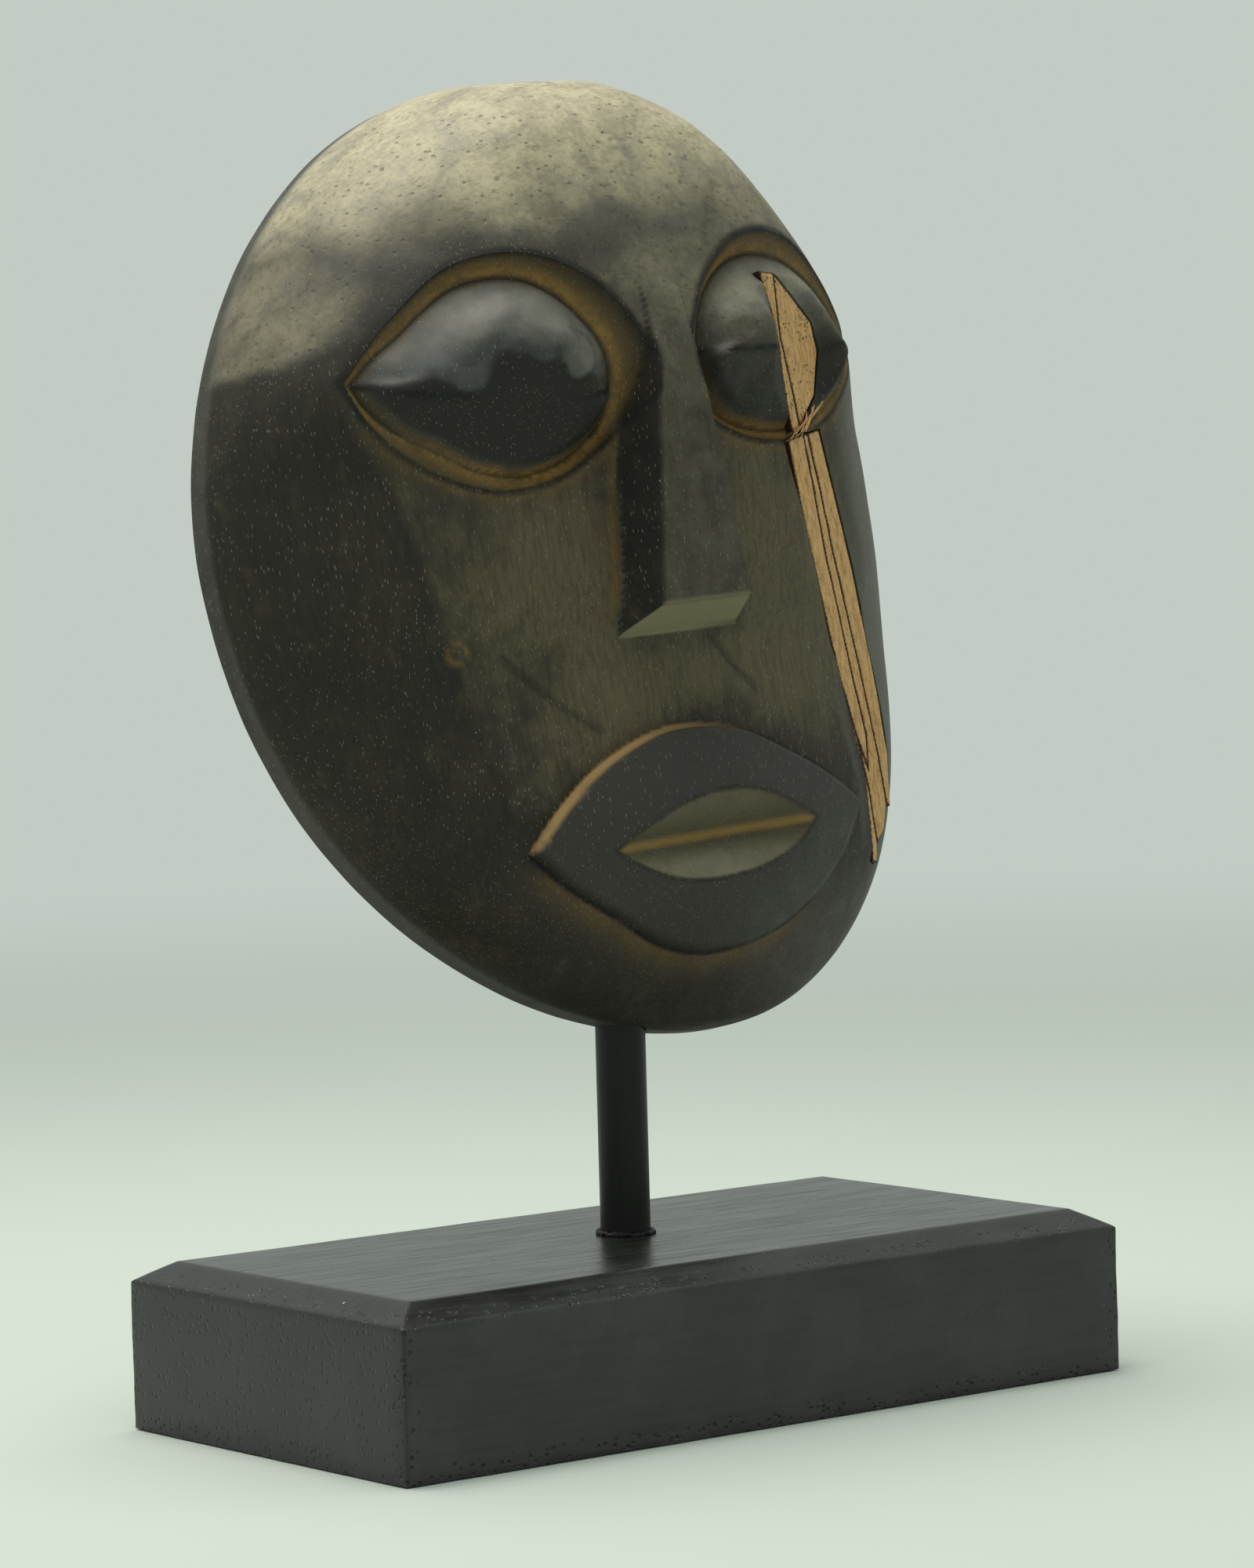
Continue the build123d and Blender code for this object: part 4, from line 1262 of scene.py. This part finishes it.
# ------------------------------------------------------------------ geometry node trees
class Tree(Nodes):
    """Builds one geometry node tree, with named inputs."""

    LIMITS = {"FLOAT_VECTOR": {"low": 0, "high": 1}, "FLOAT": {"low": 2, "high": 3}}
    RANDOM_OUTPUT = {"FLOAT_VECTOR": 0, "FLOAT": 1}

    def __init__(self, name, inputs):
        self.tree = bpy.data.node_groups.new(name, "GeometryNodeTree")
        face = self.tree.interface
        face.new_socket("Geometry", in_out="INPUT", socket_type="NodeSocketGeometry")
        self.sockets = {}
        for label, (kind, default) in inputs.items():
            socket = face.new_socket(label, in_out="INPUT", socket_type=kind)
            if default is not None:
                socket.default_value = default
            self.sockets[label] = socket.identifier
        face.new_socket("Geometry", in_out="OUTPUT", socket_type="NodeSocketGeometry")
        self.start = self.tree.nodes.new("NodeGroupInput")
        self.end = self.tree.nodes.new("NodeGroupOutput")

    def given(self, label):
        return self.start.outputs[label]

    def vector(self, operation, a, b=None, scale=None):
        inputs = {0: a}
        if b is not None:
            inputs[1] = b
        if scale is not None:
            inputs["Scale"] = scale
        return self.node("ShaderNodeVectorMath", inputs, operation=operation).outputs[0]

    def attribute(self, name):
        """The number that the mesh carries on its points under this name."""
        return self.node("GeometryNodeInputNamedAttribute", {"Name": name}, data_type="FLOAT").outputs[0]

    def surface(self):
        """The place and the direction of each point."""
        kinds = ("GeometryNodeInputPosition", "GeometryNodeInputNormal")
        return [self.node(kind).outputs[0] for kind in kinds]

    def noise(self, place, scale, detail=3.0, output="Fac"):
        inputs = {"Vector": place, "Scale": scale, "Detail": detail}
        return self.node("ShaderNodeTexNoise", inputs).outputs[output]

    def circle(self, sides, radius):
        inputs = {"Resolution": sides, "Radius": radius}
        return self.node("GeometryNodeCurvePrimitiveCircle", inputs).outputs["Curve"]

    def tube(self, path, section, caps=False):
        inputs = {"Curve": path, "Profile Curve": section, "Fill Caps": caps}
        return self.node("GeometryNodeCurveToMesh", inputs).outputs[0]

    def random(self, kind, **limits):
        """A random number or vector for each point, from the tree's seed."""
        inputs = {"Seed": self.given("Seed")}
        for name, value in limits.items():
            inputs[self.LIMITS[kind][name]] = value
        return self.node("FunctionNodeRandomValue", inputs, data_type=kind).outputs[self.RANDOM_OUTPUT[kind]]

    def moved(self, geometry, offset):
        return self.node("GeometryNodeSetPosition", {"Geometry": geometry, "Offset": offset}).outputs[0]

    def close(self, geometry):
        """Realises the result, gives it its material and ends the tree."""
        real = self.node("GeometryNodeRealizeInstances", {"Geometry": geometry}).outputs[0]
        inputs = {"Geometry": real, "Material": self.given("Material")}
        painted = self.node("GeometryNodeSetMaterial", inputs).outputs[0]
        self.tree.links.new(painted, self.end.inputs[0])
        return self


def grow(made, tree, values):
    """Runs a geometry node tree on an object and keeps its result as a plain mesh."""
    modifier = made.modifiers.new("growth", "NODES")
    modifier.node_group = tree.tree
    for label, value in values.items():
        modifier[tree.sockets[label]] = value
    bpy.context.view_layer.update()
    result = bpy.data.meshes.new_from_object(made.evaluated_get(bpy.context.evaluated_depsgraph_get()))
    made.modifiers.remove(modifier)
    made.data = result
    return made


def relief_tree():
    """The knife's uneven surface on the face, and gouge cuts in the hollow."""
    tree = Tree("carved_relief", {
        "Wave height": ("NodeSocketFloat", 0.0004),
        "Wave size": ("NodeSocketFloat", 0.02),
        "Gouge depth": ("NodeSocketFloat", 0.0020),
        "Gouge width": ("NodeSocketFloat", 0.012),
        "Material": ("NodeSocketMaterial", None),
    })
    position, normal = tree.surface()
    wave = tree.noise(position, tree.math("DIVIDE", 1.0, tree.given("Wave size")), 2.0)
    hollow = tree.attribute("hollow")
    lift = tree.math("MULTIPLY", tree.math("SUBTRACT", wave, 0.5), tree.given("Wave height"))
    drawn_out = tree.vector("MULTIPLY", position, (1.0, 1.0, 0.45))
    gouge_scale = tree.math("DIVIDE", 1.0, tree.given("Gouge width"))
    cells = tree.node("ShaderNodeTexVoronoi", {"Vector": drawn_out, "Scale": gouge_scale, "Smoothness": 0.15},
                      feature="SMOOTH_F1").outputs["Distance"]
    cut = tree.math("MULTIPLY", tree.math("MULTIPLY", cells, tree.given("Gouge depth")), hollow)
    offset = tree.vector("SCALE", normal, scale=tree.math("ADD", lift, cut))
    return tree.close(tree.moved(tree.given("Geometry"), offset))


def fibre_tree():
    """Fine torn fibres scattered along a line, each bent and turned in its own way."""
    tree = Tree("torn_fibres", {
        "Start": ("NodeSocketVector", None),
        "End": ("NodeSocketVector", None),
        "Out": ("NodeSocketVector", None),
        "Count": ("NodeSocketInt", 14),
        "Length": ("NodeSocketFloat", 0.012),
        "Thickness": ("NodeSocketFloat", 0.00025),
        "Scatter": ("NodeSocketFloat", 0.0006),
        "Seed": ("NodeSocketInt", 3),
        "Material": ("NodeSocketMaterial", None),
    })
    line = tree.vector("SUBTRACT", tree.given("End"), tree.given("Start"))
    direction = tree.vector("NORMALIZE", line)
    half = tree.math("MULTIPLY", tree.given("Length"), 0.5)
    reach = tree.vector("SCALE", direction, scale=half)
    back = tree.vector("SCALE", reach, scale=-1.0)
    bow = tree.vector("SCALE", tree.given("Out"), scale=tree.math("MULTIPLY", tree.given("Length"), 0.12))
    inputs = {"Resolution": 8, "Start": back, "Middle": bow, "End": reach}
    strand = tree.node("GeometryNodeCurveQuadraticBezier", inputs).outputs[0]
    radius = tree.math("MULTIPLY", tree.given("Thickness"), 0.5)
    fibre = tree.tube(strand, tree.circle(5, radius), caps=True)
    points = tree.node("GeometryNodePoints", {"Count": tree.given("Count")}).outputs[0]
    along = tree.random("FLOAT")
    spot = tree.vector("ADD", tree.given("Start"), tree.vector("SCALE", line, scale=along))
    wide = tree.random("FLOAT_VECTOR", low=(-1.0, -1.0, -1.0), high=(1.0, 1.0, 1.0))
    spot = tree.vector("ADD", spot, tree.vector("SCALE", wide, scale=tree.given("Scatter")))
    placed = tree.node("GeometryNodeSetPosition", {"Geometry": points, "Position": spot}).outputs[0]
    turn = tree.random("FLOAT_VECTOR", low=(-0.35, -0.35, -0.35), high=(0.35, 0.35, 0.35))
    size = tree.random("FLOAT", low=0.35, high=1.1)
    inputs = {"Points": placed, "Instance": fibre, "Rotation": turn, "Scale": size}
    return tree.close(tree.node("GeometryNodeInstanceOnPoints", inputs).outputs[0])


def bead_tree():
    """A rough bead of paint round the foot of the post."""
    tree = Tree("paint_bead", {
        "Centre": ("NodeSocketVector", None),
        "Radius": ("NodeSocketFloat", 0.006),
        "Thickness": ("NodeSocketFloat", 0.0016),
        "Roughness": ("NodeSocketFloat", 0.0008),
        "Material": ("NodeSocketMaterial", None),
    })
    half = tree.math("MULTIPLY", tree.given("Thickness"), 0.5)
    bead = tree.tube(tree.circle(120, tree.given("Radius")), tree.circle(14, half))
    bead = tree.moved(bead, tree.given("Centre"))
    position, _ = tree.surface()
    lumps = tree.noise(position, 700.0, output="Color")
    shift = tree.vector("SUBTRACT", lumps, (0.5, 0.5, 0.5))
    shift = tree.vector("SCALE", shift, scale=tree.math("MULTIPLY", tree.given("Roughness"), 2.0))
    return tree.close(tree.moved(bead, shift))


def wear_tree():
    """Soft dents and chips along the edges of the block."""
    tree = Tree("worn_block", {
        "Dent depth": ("NodeSocketFloat", 0.0003),
        "Chip depth": ("NodeSocketFloat", 0.0006),
        "Material": ("NodeSocketMaterial", None),
    })
    position, normal = tree.surface()
    dents = tree.noise(position, 35.0)
    chips = tree.noise(position, 110.0)
    low = tree.math("MULTIPLY", tree.math("SUBTRACT", dents, 0.75), tree.given("Dent depth"))
    nick = tree.math("MULTIPLY", tree.math("SUBTRACT", chips, 0.8), tree.given("Chip depth"))
    nick = tree.math("MULTIPLY", nick, tree.attribute("corner"))
    offset = tree.vector("SCALE", normal, scale=tree.math("ADD", low, nick))
    return tree.close(tree.moved(tree.given("Geometry"), offset))


# ------------------------------------------------------------------ the block
def build_block(low, high, material):
    """The base block as an even grid with its bevelled top edge."""
    run, drop, step = BLOCK_BEVEL_RUN * MM, BLOCK_BEVEL_DROP * MM, BLOCK_STEP * MM

    def ticks(a, b, edge):
        inner = np.linspace(a + edge, b - edge, max(2, round((b - a - 2 * edge) / step)) + 1)
        outer = max(2, round(edge / step)) + 1
        first, last = np.linspace(a, a + edge, outer), np.linspace(b - edge, b, outer)
        return np.concatenate([first[:-1], inner, last[1:]])

    xs, ys = ticks(low.x, high.x, run), ticks(low.y, high.y, run)
    zs = np.linspace(low.z, high.z - drop, round((high.z - low.z - drop) / step) + 1)
    mesh = bmesh.new()
    found = {}

    def point(x, y, z):
        key = (round(x, 7), round(y, 7), round(z, 7))
        if key not in found:
            found[key] = mesh.verts.new((x, y, z))
        return found[key]

    def top_z(x, y):
        edge = min(x - low.x, high.x - x, y - low.y, high.y - y)
        return high.z - drop * max(0.0, 1 - edge / run)

    def grid(first, second, place):
        """Faces over a grid; those that the hip of the bevel crosses are cut along it."""
        for a0, a1 in zip(first, first[1:]):
            for b0, b1 in zip(second, second[1:]):
                corners = [point(*place(a, b)) for a, b in ((a0, b0), (a1, b0), (a1, b1), (a0, b1))]
                rise = corners[0].co.z + corners[2].co.z - corners[1].co.z - corners[3].co.z
                if abs(rise) < HIP_LEAST * MM:
                    mesh.faces.new(corners)
                    continue
                cut = corners if rise > 0 else corners[1:] + corners[:1]
                mesh.faces.new(cut[:3])
                mesh.faces.new([cut[0], *cut[2:]])

    grid(xs, ys, lambda x, y: (x, y, top_z(x, y)))
    grid(xs, ys, lambda x, y: (x, y, low.z))
    for y in (low.y, high.y):
        grid(xs, zs, lambda x, z, y=y: (x, y, z))
    for x in (low.x, high.x):
        grid(ys, zs, lambda y, z, x=x: (x, y, z))
    bmesh.ops.recalc_face_normals(mesh, faces=mesh.faces)
    sharp = [edge for edge in mesh.edges if edge.calc_face_angle(0) > math.radians(20)]
    bmesh.ops.bevel(mesh, geom=sharp, offset=BLOCK_EDGE * MM, segments=2, affect="EDGES", profile=0.6)
    made = new_object("painted_block", [], [], [material])
    mesh.to_mesh(made.data)
    mesh.free()
    co = np.array([v.co for v in made.data.vertices])
    side = np.stack([co[:, 0] - low.x, high.x - co[:, 0]]).min(0)
    front = np.stack([co[:, 1] - low.y, high.y - co[:, 1]]).min(0)
    up = np.stack([co[:, 2] - low.z, high.z - co[:, 2]]).min(0)
    near = np.sort(np.stack([side, front, up]), axis=0)[1]
    paint(made, "corner", np.clip(1 - near / (BLOCK_WORN_EDGE * MM), 0, 1) ** 1.5)
    paint(made, "end_grain", (side < 1 * MM) * 1.0)
    return made


# ------------------------------------------------------------------ settings
def length(name, description, millimetres):
    return FloatProperty(name=name, description=description, default=millimetres * MM, min=0.0, unit="LENGTH")


def tint(name, description, value):
    return FloatVectorProperty(name=name, description=description, default=value, size=3, min=0.0, max=1.0,
                               subtype="COLOR")


class CarvingSettings(bpy.types.PropertyGroup):
    """Sizes of the carving."""
    left_half_width: length("Left half width", "Half width of the mask on its left", 96.3)
    right_half_width: length("Right half width", "Half width of the mask on its right", 87.7)
    eyeball_proud: length("Eyeball height", "How far an eyeball stands above the face around it", 1.6)
    lip_relief: length("Lip height", "How far the lips stand above the face around them", 2.6)
    mesh_step: length("Mesh step", "Distance between points beside a carved line", 0.56)
    seat_gap: length("Seat gap", "Gap round the post in the chin", 0.4)
    pin_gap: length("Pin gap", "Gap round the pin in the chin", 0.05)
    fibres: IntProperty(name="Fibres", description="Torn fibres over the cheek slips", default=16, min=0)


class FinishSettings(bpy.types.PropertyGroup):
    """Colours of the finishes."""
    dark_stain: tint("Dark stain", "Stain over most of the face", (0.021, 0.0185, 0.0145))
    brown_stain: tint("Brown stain", "Browner stain in clouds over the face", (0.040, 0.032, 0.021))
    # Also the painted shade on the nose's side walls, in the sockets beside the nose and along the cheek creases
    # and lower lip edges.
    deep_stain_and_shade: tint("Deep stain", "Stain in creases and pits", (0.008, 0.0075, 0.007))
    worn_stain: tint("Worn stain", "Greenish worn patches", (0.105, 0.085, 0.048))
    # Dusty grey with painted backlight on the far side of the face.
    side_grey_and_backlight: tint("Grey side", "Dusty grey of the far side of the face", (0.14, 0.145, 0.125))
    # Painted highlight on the front of the nose.
    ridge_highlight: tint("Ridge stain", "Worn front of the nose", (0.085, 0.08, 0.062))
    lip_stain: tint("Lip stain", "Stain on the lips and eyeballs", (0.045, 0.041, 0.037))
    # Painted highlight on the upper facet of the eyeballs.
    lid_highlight_grey: tint("Worn grey", "Rubbed grey on eyelids and the rim", (0.165, 0.158, 0.128))
    # Painted highlight on the upper facet of the eyeballs, and the grey of the rim.
    lid_grey: tint("Lid grey", "Darker grey of the eyelids and the rim", (0.095, 0.094, 0.082))
    check_brown: tint("Checks", "Fine cracks in the rubbed forehead", (0.105, 0.092, 0.065))
    pale_rub: tint("Rubbed wood", "Rubbed forehead", (0.40, 0.36, 0.245))
    pale_shadow: tint("Rubbed wood in shade", "Darker mottling of the forehead", (0.27, 0.245, 0.17))
    # Forehead smudges; also painted light on the upper part of the eyeballs and painted shade above the left
    # socket.
    smudge_and_painted_light: tint("Smudge", "Cloudy smudges on the forehead", (0.105, 0.107, 0.105))
    ochre: tint("Ochre", "Worn ochre in the cuts", (0.27, 0.158, 0.043))
    ochre_dark: tint("Dark ochre", "Stained ochre in the cuts", (0.08, 0.054, 0.022))
    under_nose: tint("Under the nose", "Worn underside of the nose", (0.26, 0.228, 0.135))
    # Painted shade on the upper half of the mouth.
    mouth_shaded: tint("Mouth", "Upper part of the mouth", (0.062, 0.052, 0.026))
    # Painted light on the lower half of the mouth, which faces up.
    mouth_lit: tint("Lower mouth", "Lower part of the mouth", (0.20, 0.185, 0.13))
    # Worn ochre with a painted highlight on the upper lip's edge.
    lip_edge_ochre_and_highlight: tint("Lip edge", "Worn edge of the upper lip", (0.38, 0.25, 0.11))
    hollow_wood: tint("Hollow", "Wood inside the hollow back", (0.14, 0.085, 0.045))
    pore: tint("Pores", "Light filler in the pores", (0.30, 0.29, 0.24))
    bare_light: tint("Bare wood", "Light grain of the slips", (0.62, 0.375, 0.155))
    bare_dark: tint("Bare wood grain", "Dark grain of the slips", (0.36, 0.185, 0.06))
    scorch: tint("Scorch", "Dark edges and specks of the slips", (0.035, 0.012, 0.005))
    charcoal: tint("Charcoal", "Paint of the block", (0.019, 0.0194, 0.019))
    charcoal_dark: tint("Dark charcoal", "Brushed lines in the paint", (0.011, 0.011, 0.011))
    charcoal_light: tint("Worn charcoal", "Rubbed paint", (0.045, 0.047, 0.045))


class StageSettings(bpy.types.PropertyGroup):
    """Light, floor and camera."""
    ground: tint("Ground", "Floor", (0.54, 0.59, 0.55))
    key_power: FloatProperty(name="Overhead light", description="Power of the light above the mask", default=9.0,
                             min=0.0, subtype="POWER")
    sky: FloatProperty(name="Sky", description="Strength of the light all round", default=0.62, min=0.0)
    sky_colour: tint("Sky colour", "Colour of the light all round", (0.88, 0.97, 0.89))
    focal_length: FloatProperty(name="Focal length", description="Focal length in millimetres", default=126.0,
                                min=1.0, subtype="DISTANCE_CAMERA")
    camera_place: FloatVectorProperty(name="Camera", description="Place of the camera",
                                      default=(-0.74736, -0.9564, 0.20687), size=3, subtype="TRANSLATION")
    camera_turn: FloatVectorProperty(name="Camera turn", description="Azimuth, elevation and roll",
                                     default=(-0.664772, 0.0571363, -0.0271827), size=3, subtype="EULER")


# ------------------------------------------------------------------ operators
class CarvedPiece:
    """What every piece's operator shares."""
    bl_options = {"REGISTER", "UNDO"}


class MASK_OT_carve(CarvedPiece, bpy.types.Operator):
    """Carve the mask, with its eyes, nose, lips and hollow back"""
    bl_idname = "mask.carve"
    bl_label = "Carve the mask"

    def execute(self, context):
        settings, colours = context.scene.carving, context.scene.finishes
        carving = Carving(settings)
        made = build_mask(carving, settings.mesh_step / MM)
        clean_mesh(made)
        post_low, post_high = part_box("support_post")
        pin_low, pin_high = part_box("mask_pin")
        cut_bore(made, post_low, post_high, settings.seat_gap, -SEAT_REACH * MM, SEAT_CLEARANCE * MM)
        cut_bore(made, pin_low, pin_high, settings.pin_gap, 0.0, PIN_CLEARANCE * MM)
        grow(made, relief_tree(), {"Material": AntiquedWood(colours).make()})
        shade_by_angle(made, 32)
        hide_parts("mask")
        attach(made, "mask")
        return {"FINISHED"}


class MASK_OT_slips(CarvedPiece, bpy.types.Operator):
    """Let the bare wood slips into the cut"""
    bl_idname = "mask.slips"
    bl_label = "Let in the slips"

    def execute(self, context):
        carving = Carving(context.scene.carving)
        material = bare_wood(context.scene.finishes)
        for name in SLIPS:
            made, to_edge = build_slip(name, carving, material)
            count = len(made.data.vertices)
            edge = np.ones(count)
            edge[: len(to_edge)] = smooth_step(to_edge, 0.9, 0.0)
            paint(made, "edge", edge)
            paint(made, "spalt", np.full(count, 1.0 if name.startswith("eye") else 0.25))
            shade_by_angle(made, 40)
            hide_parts(name)
            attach(made, "mask")
        return {"FINISHED"}


class MASK_OT_fibres(CarvedPiece, bpy.types.Operator):
    """Lay torn fibres across the top of the cheek slips"""
    bl_idname = "mask.fibres"
    bl_label = "Lay torn fibres"

    def execute(self, context):
        settings = context.scene.carving
        carving = Carving(settings)
        ends = np.array([carving.slip_point(x, y, 0.25) for x, y in ((-1.0, -0.4), (11.5, 2.6))])
        start, end = (Vector(place_carving(*point)) for point in ends)
        out = carving_matrix().to_3x3() @ Vector((0, -1, 0.15))
        made = new_object("torn_fibres", [], [])
        values = {"Start": start, "End": end, "Out": out, "Count": settings.fibres,
                  "Material": bare_wood(context.scene.finishes)}
        grow(made, fibre_tree(), values)
        count = len(made.data.vertices)
        paint(made, "edge", np.full(count, 0.05))
        paint(made, "spalt", np.zeros(count))
        made.data.shade_smooth()
        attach(made, "mask")
        return {"FINISHED"}


class MASK_OT_stand(CarvedPiece, bpy.types.Operator):
    """Paint the block, the post and the pin, and lay the bead of paint at the post's foot"""
    bl_idname = "mask.stand"
    bl_label = "Paint the stand"

    def execute(self, context):
        colours = context.scene.finishes
        low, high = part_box("base_block")
        charcoal, black = charcoal_paint(colours), black_paint()
        block = build_block(low, high, charcoal)
        grow(block, wear_tree(), {"Material": charcoal})
        shade_by_angle(block, 40)
        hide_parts("base_block")
        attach(block, "stand")
        post_low, post_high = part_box("support_post")
        centre = (post_low + post_high) / 2
        bead = new_object("paint_bead", [], [])
        foot = Vector((centre.x, centre.y, high.z + 0.0002))
        radius = (post_high.x - post_low.x) / 2
        grow(bead, bead_tree(), {"Centre": foot, "Radius": radius + 0.0003, "Material": black})
        bead.data.shade_smooth()
        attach(bead, "stand")
        for node, material in (("support_post", black), ("mask_pin", drawn_steel())):
            for material_slot in frame["nodes"][node].material_slots:
                material_slot.material = material
        return {"FINISHED"}


class MASK_OT_stage(CarvedPiece, bpy.types.Operator):
    """Set up the floor, the backdrop, the lights and the camera"""
    bl_idname = "mask.stage"
    bl_label = "Set the stage"

    def execute(self, context):
        settings = context.scene.stage
        scene = context.scene
        scene.view_settings.view_transform = "Standard"
        glow = tuple(channel * settings.sky for channel in settings.sky_colour)
        ground = pale_ground("pale_ground", settings.ground, glow)
        corners = [(x * FLOOR_REACH, y * FLOOR_REACH, 0) for x, y in ((-1, -1), (1, -1), (1, 1), (-1, 1))]
        floor = new_object("floor", corners, [(0, 1, 2, 3)], [ground])
        world = bpy.data.worlds.new("soft_room")
        world.use_nodes = True
        scene.world = world
        background = world.node_tree.nodes["Background"]
        background.inputs["Color"].default_value = (*settings.sky_colour, 1)
        background.inputs["Strength"].default_value = settings.sky
        add_overhead_light(settings.key_power)
        azimuth, elevation, roll = settings.camera_turn
        data = bpy.data.cameras.new("view")
        data.lens = settings.focal_length
        data.sensor_width = 36.0
        data.clip_start, data.clip_end = 0.05, 50.0
        camera = bpy.data.objects.new("view", data)
        scene.collection.objects.link(camera)
        back = Vector((math.sin(azimuth) * math.cos(elevation), -math.cos(azimuth) * math.cos(elevation),
                       math.sin(elevation)))
        right = Vector((math.cos(azimuth), math.sin(azimuth), 0))
        up = back.cross(right)
        turned_right = math.cos(roll) * right + math.sin(roll) * up
        turned_up = math.cos(roll) * up - math.sin(roll) * right
        turn = Matrix((turned_right, turned_up, back)).transposed().to_4x4()
        camera.matrix_world = Matrix.Translation(settings.camera_place) @ turn
        scene.camera = camera
        return {"FINISHED"}


def add_overhead_light(power):
    """A soft square light that faces the mask."""
    data = bpy.data.lights.new("overhead", "AREA")
    data.shape = "SQUARE"
    data.size = LIGHT_SIZE
    data.energy = power
    data.color = LIGHT_COLOUR
    light = bpy.data.objects.new("overhead", data)
    bpy.context.scene.collection.objects.link(light)
    light.location = LIGHT_PLACE
    light.rotation_euler = (Vector(LIGHT_TARGET) - Vector(LIGHT_PLACE)).to_track_quat("-Z", "Y").to_euler()


class MASK_PT_panel(bpy.types.Panel):
    """Steps that make the mask, in order"""
    bl_idname = "MASK_PT_panel"
    bl_label = "Carved mask"
    bl_space_type = "VIEW_3D"
    bl_region_type = "UI"
    bl_category = "Carved mask"

    def draw(self, context):
        for step in STEPS:
            self.layout.operator(step.bl_idname)
        for group in (context.scene.carving, context.scene.finishes, context.scene.stage):
            box = self.layout.box()
            for name in group.__annotations__:
                box.prop(group, name)


STEPS = (MASK_OT_carve, MASK_OT_slips, MASK_OT_fibres, MASK_OT_stand, MASK_OT_stage)
SETTINGS = {"carving": CarvingSettings, "finishes": FinishSettings, "stage": StageSettings}


def register():
    for settings in SETTINGS.values():
        bpy.utils.register_class(settings)
    for step in (*STEPS, MASK_PT_panel):
        bpy.utils.register_class(step)
    for name, settings in SETTINGS.items():
        setattr(bpy.types.Scene, name, PointerProperty(type=settings))


def unregister():
    for name in SETTINGS:
        delattr(bpy.types.Scene, name)
    for step in (MASK_PT_panel, *reversed(STEPS)):
        bpy.utils.unregister_class(step)
    for settings in reversed(SETTINGS.values()):
        bpy.utils.unregister_class(settings)


def main():
    register()
    bpy.ops.mask.carve()
    bpy.ops.mask.slips()
    bpy.ops.mask.fibres()
    bpy.ops.mask.stand()
    bpy.ops.mask.stage()


if __name__ == "__main__":
    main()
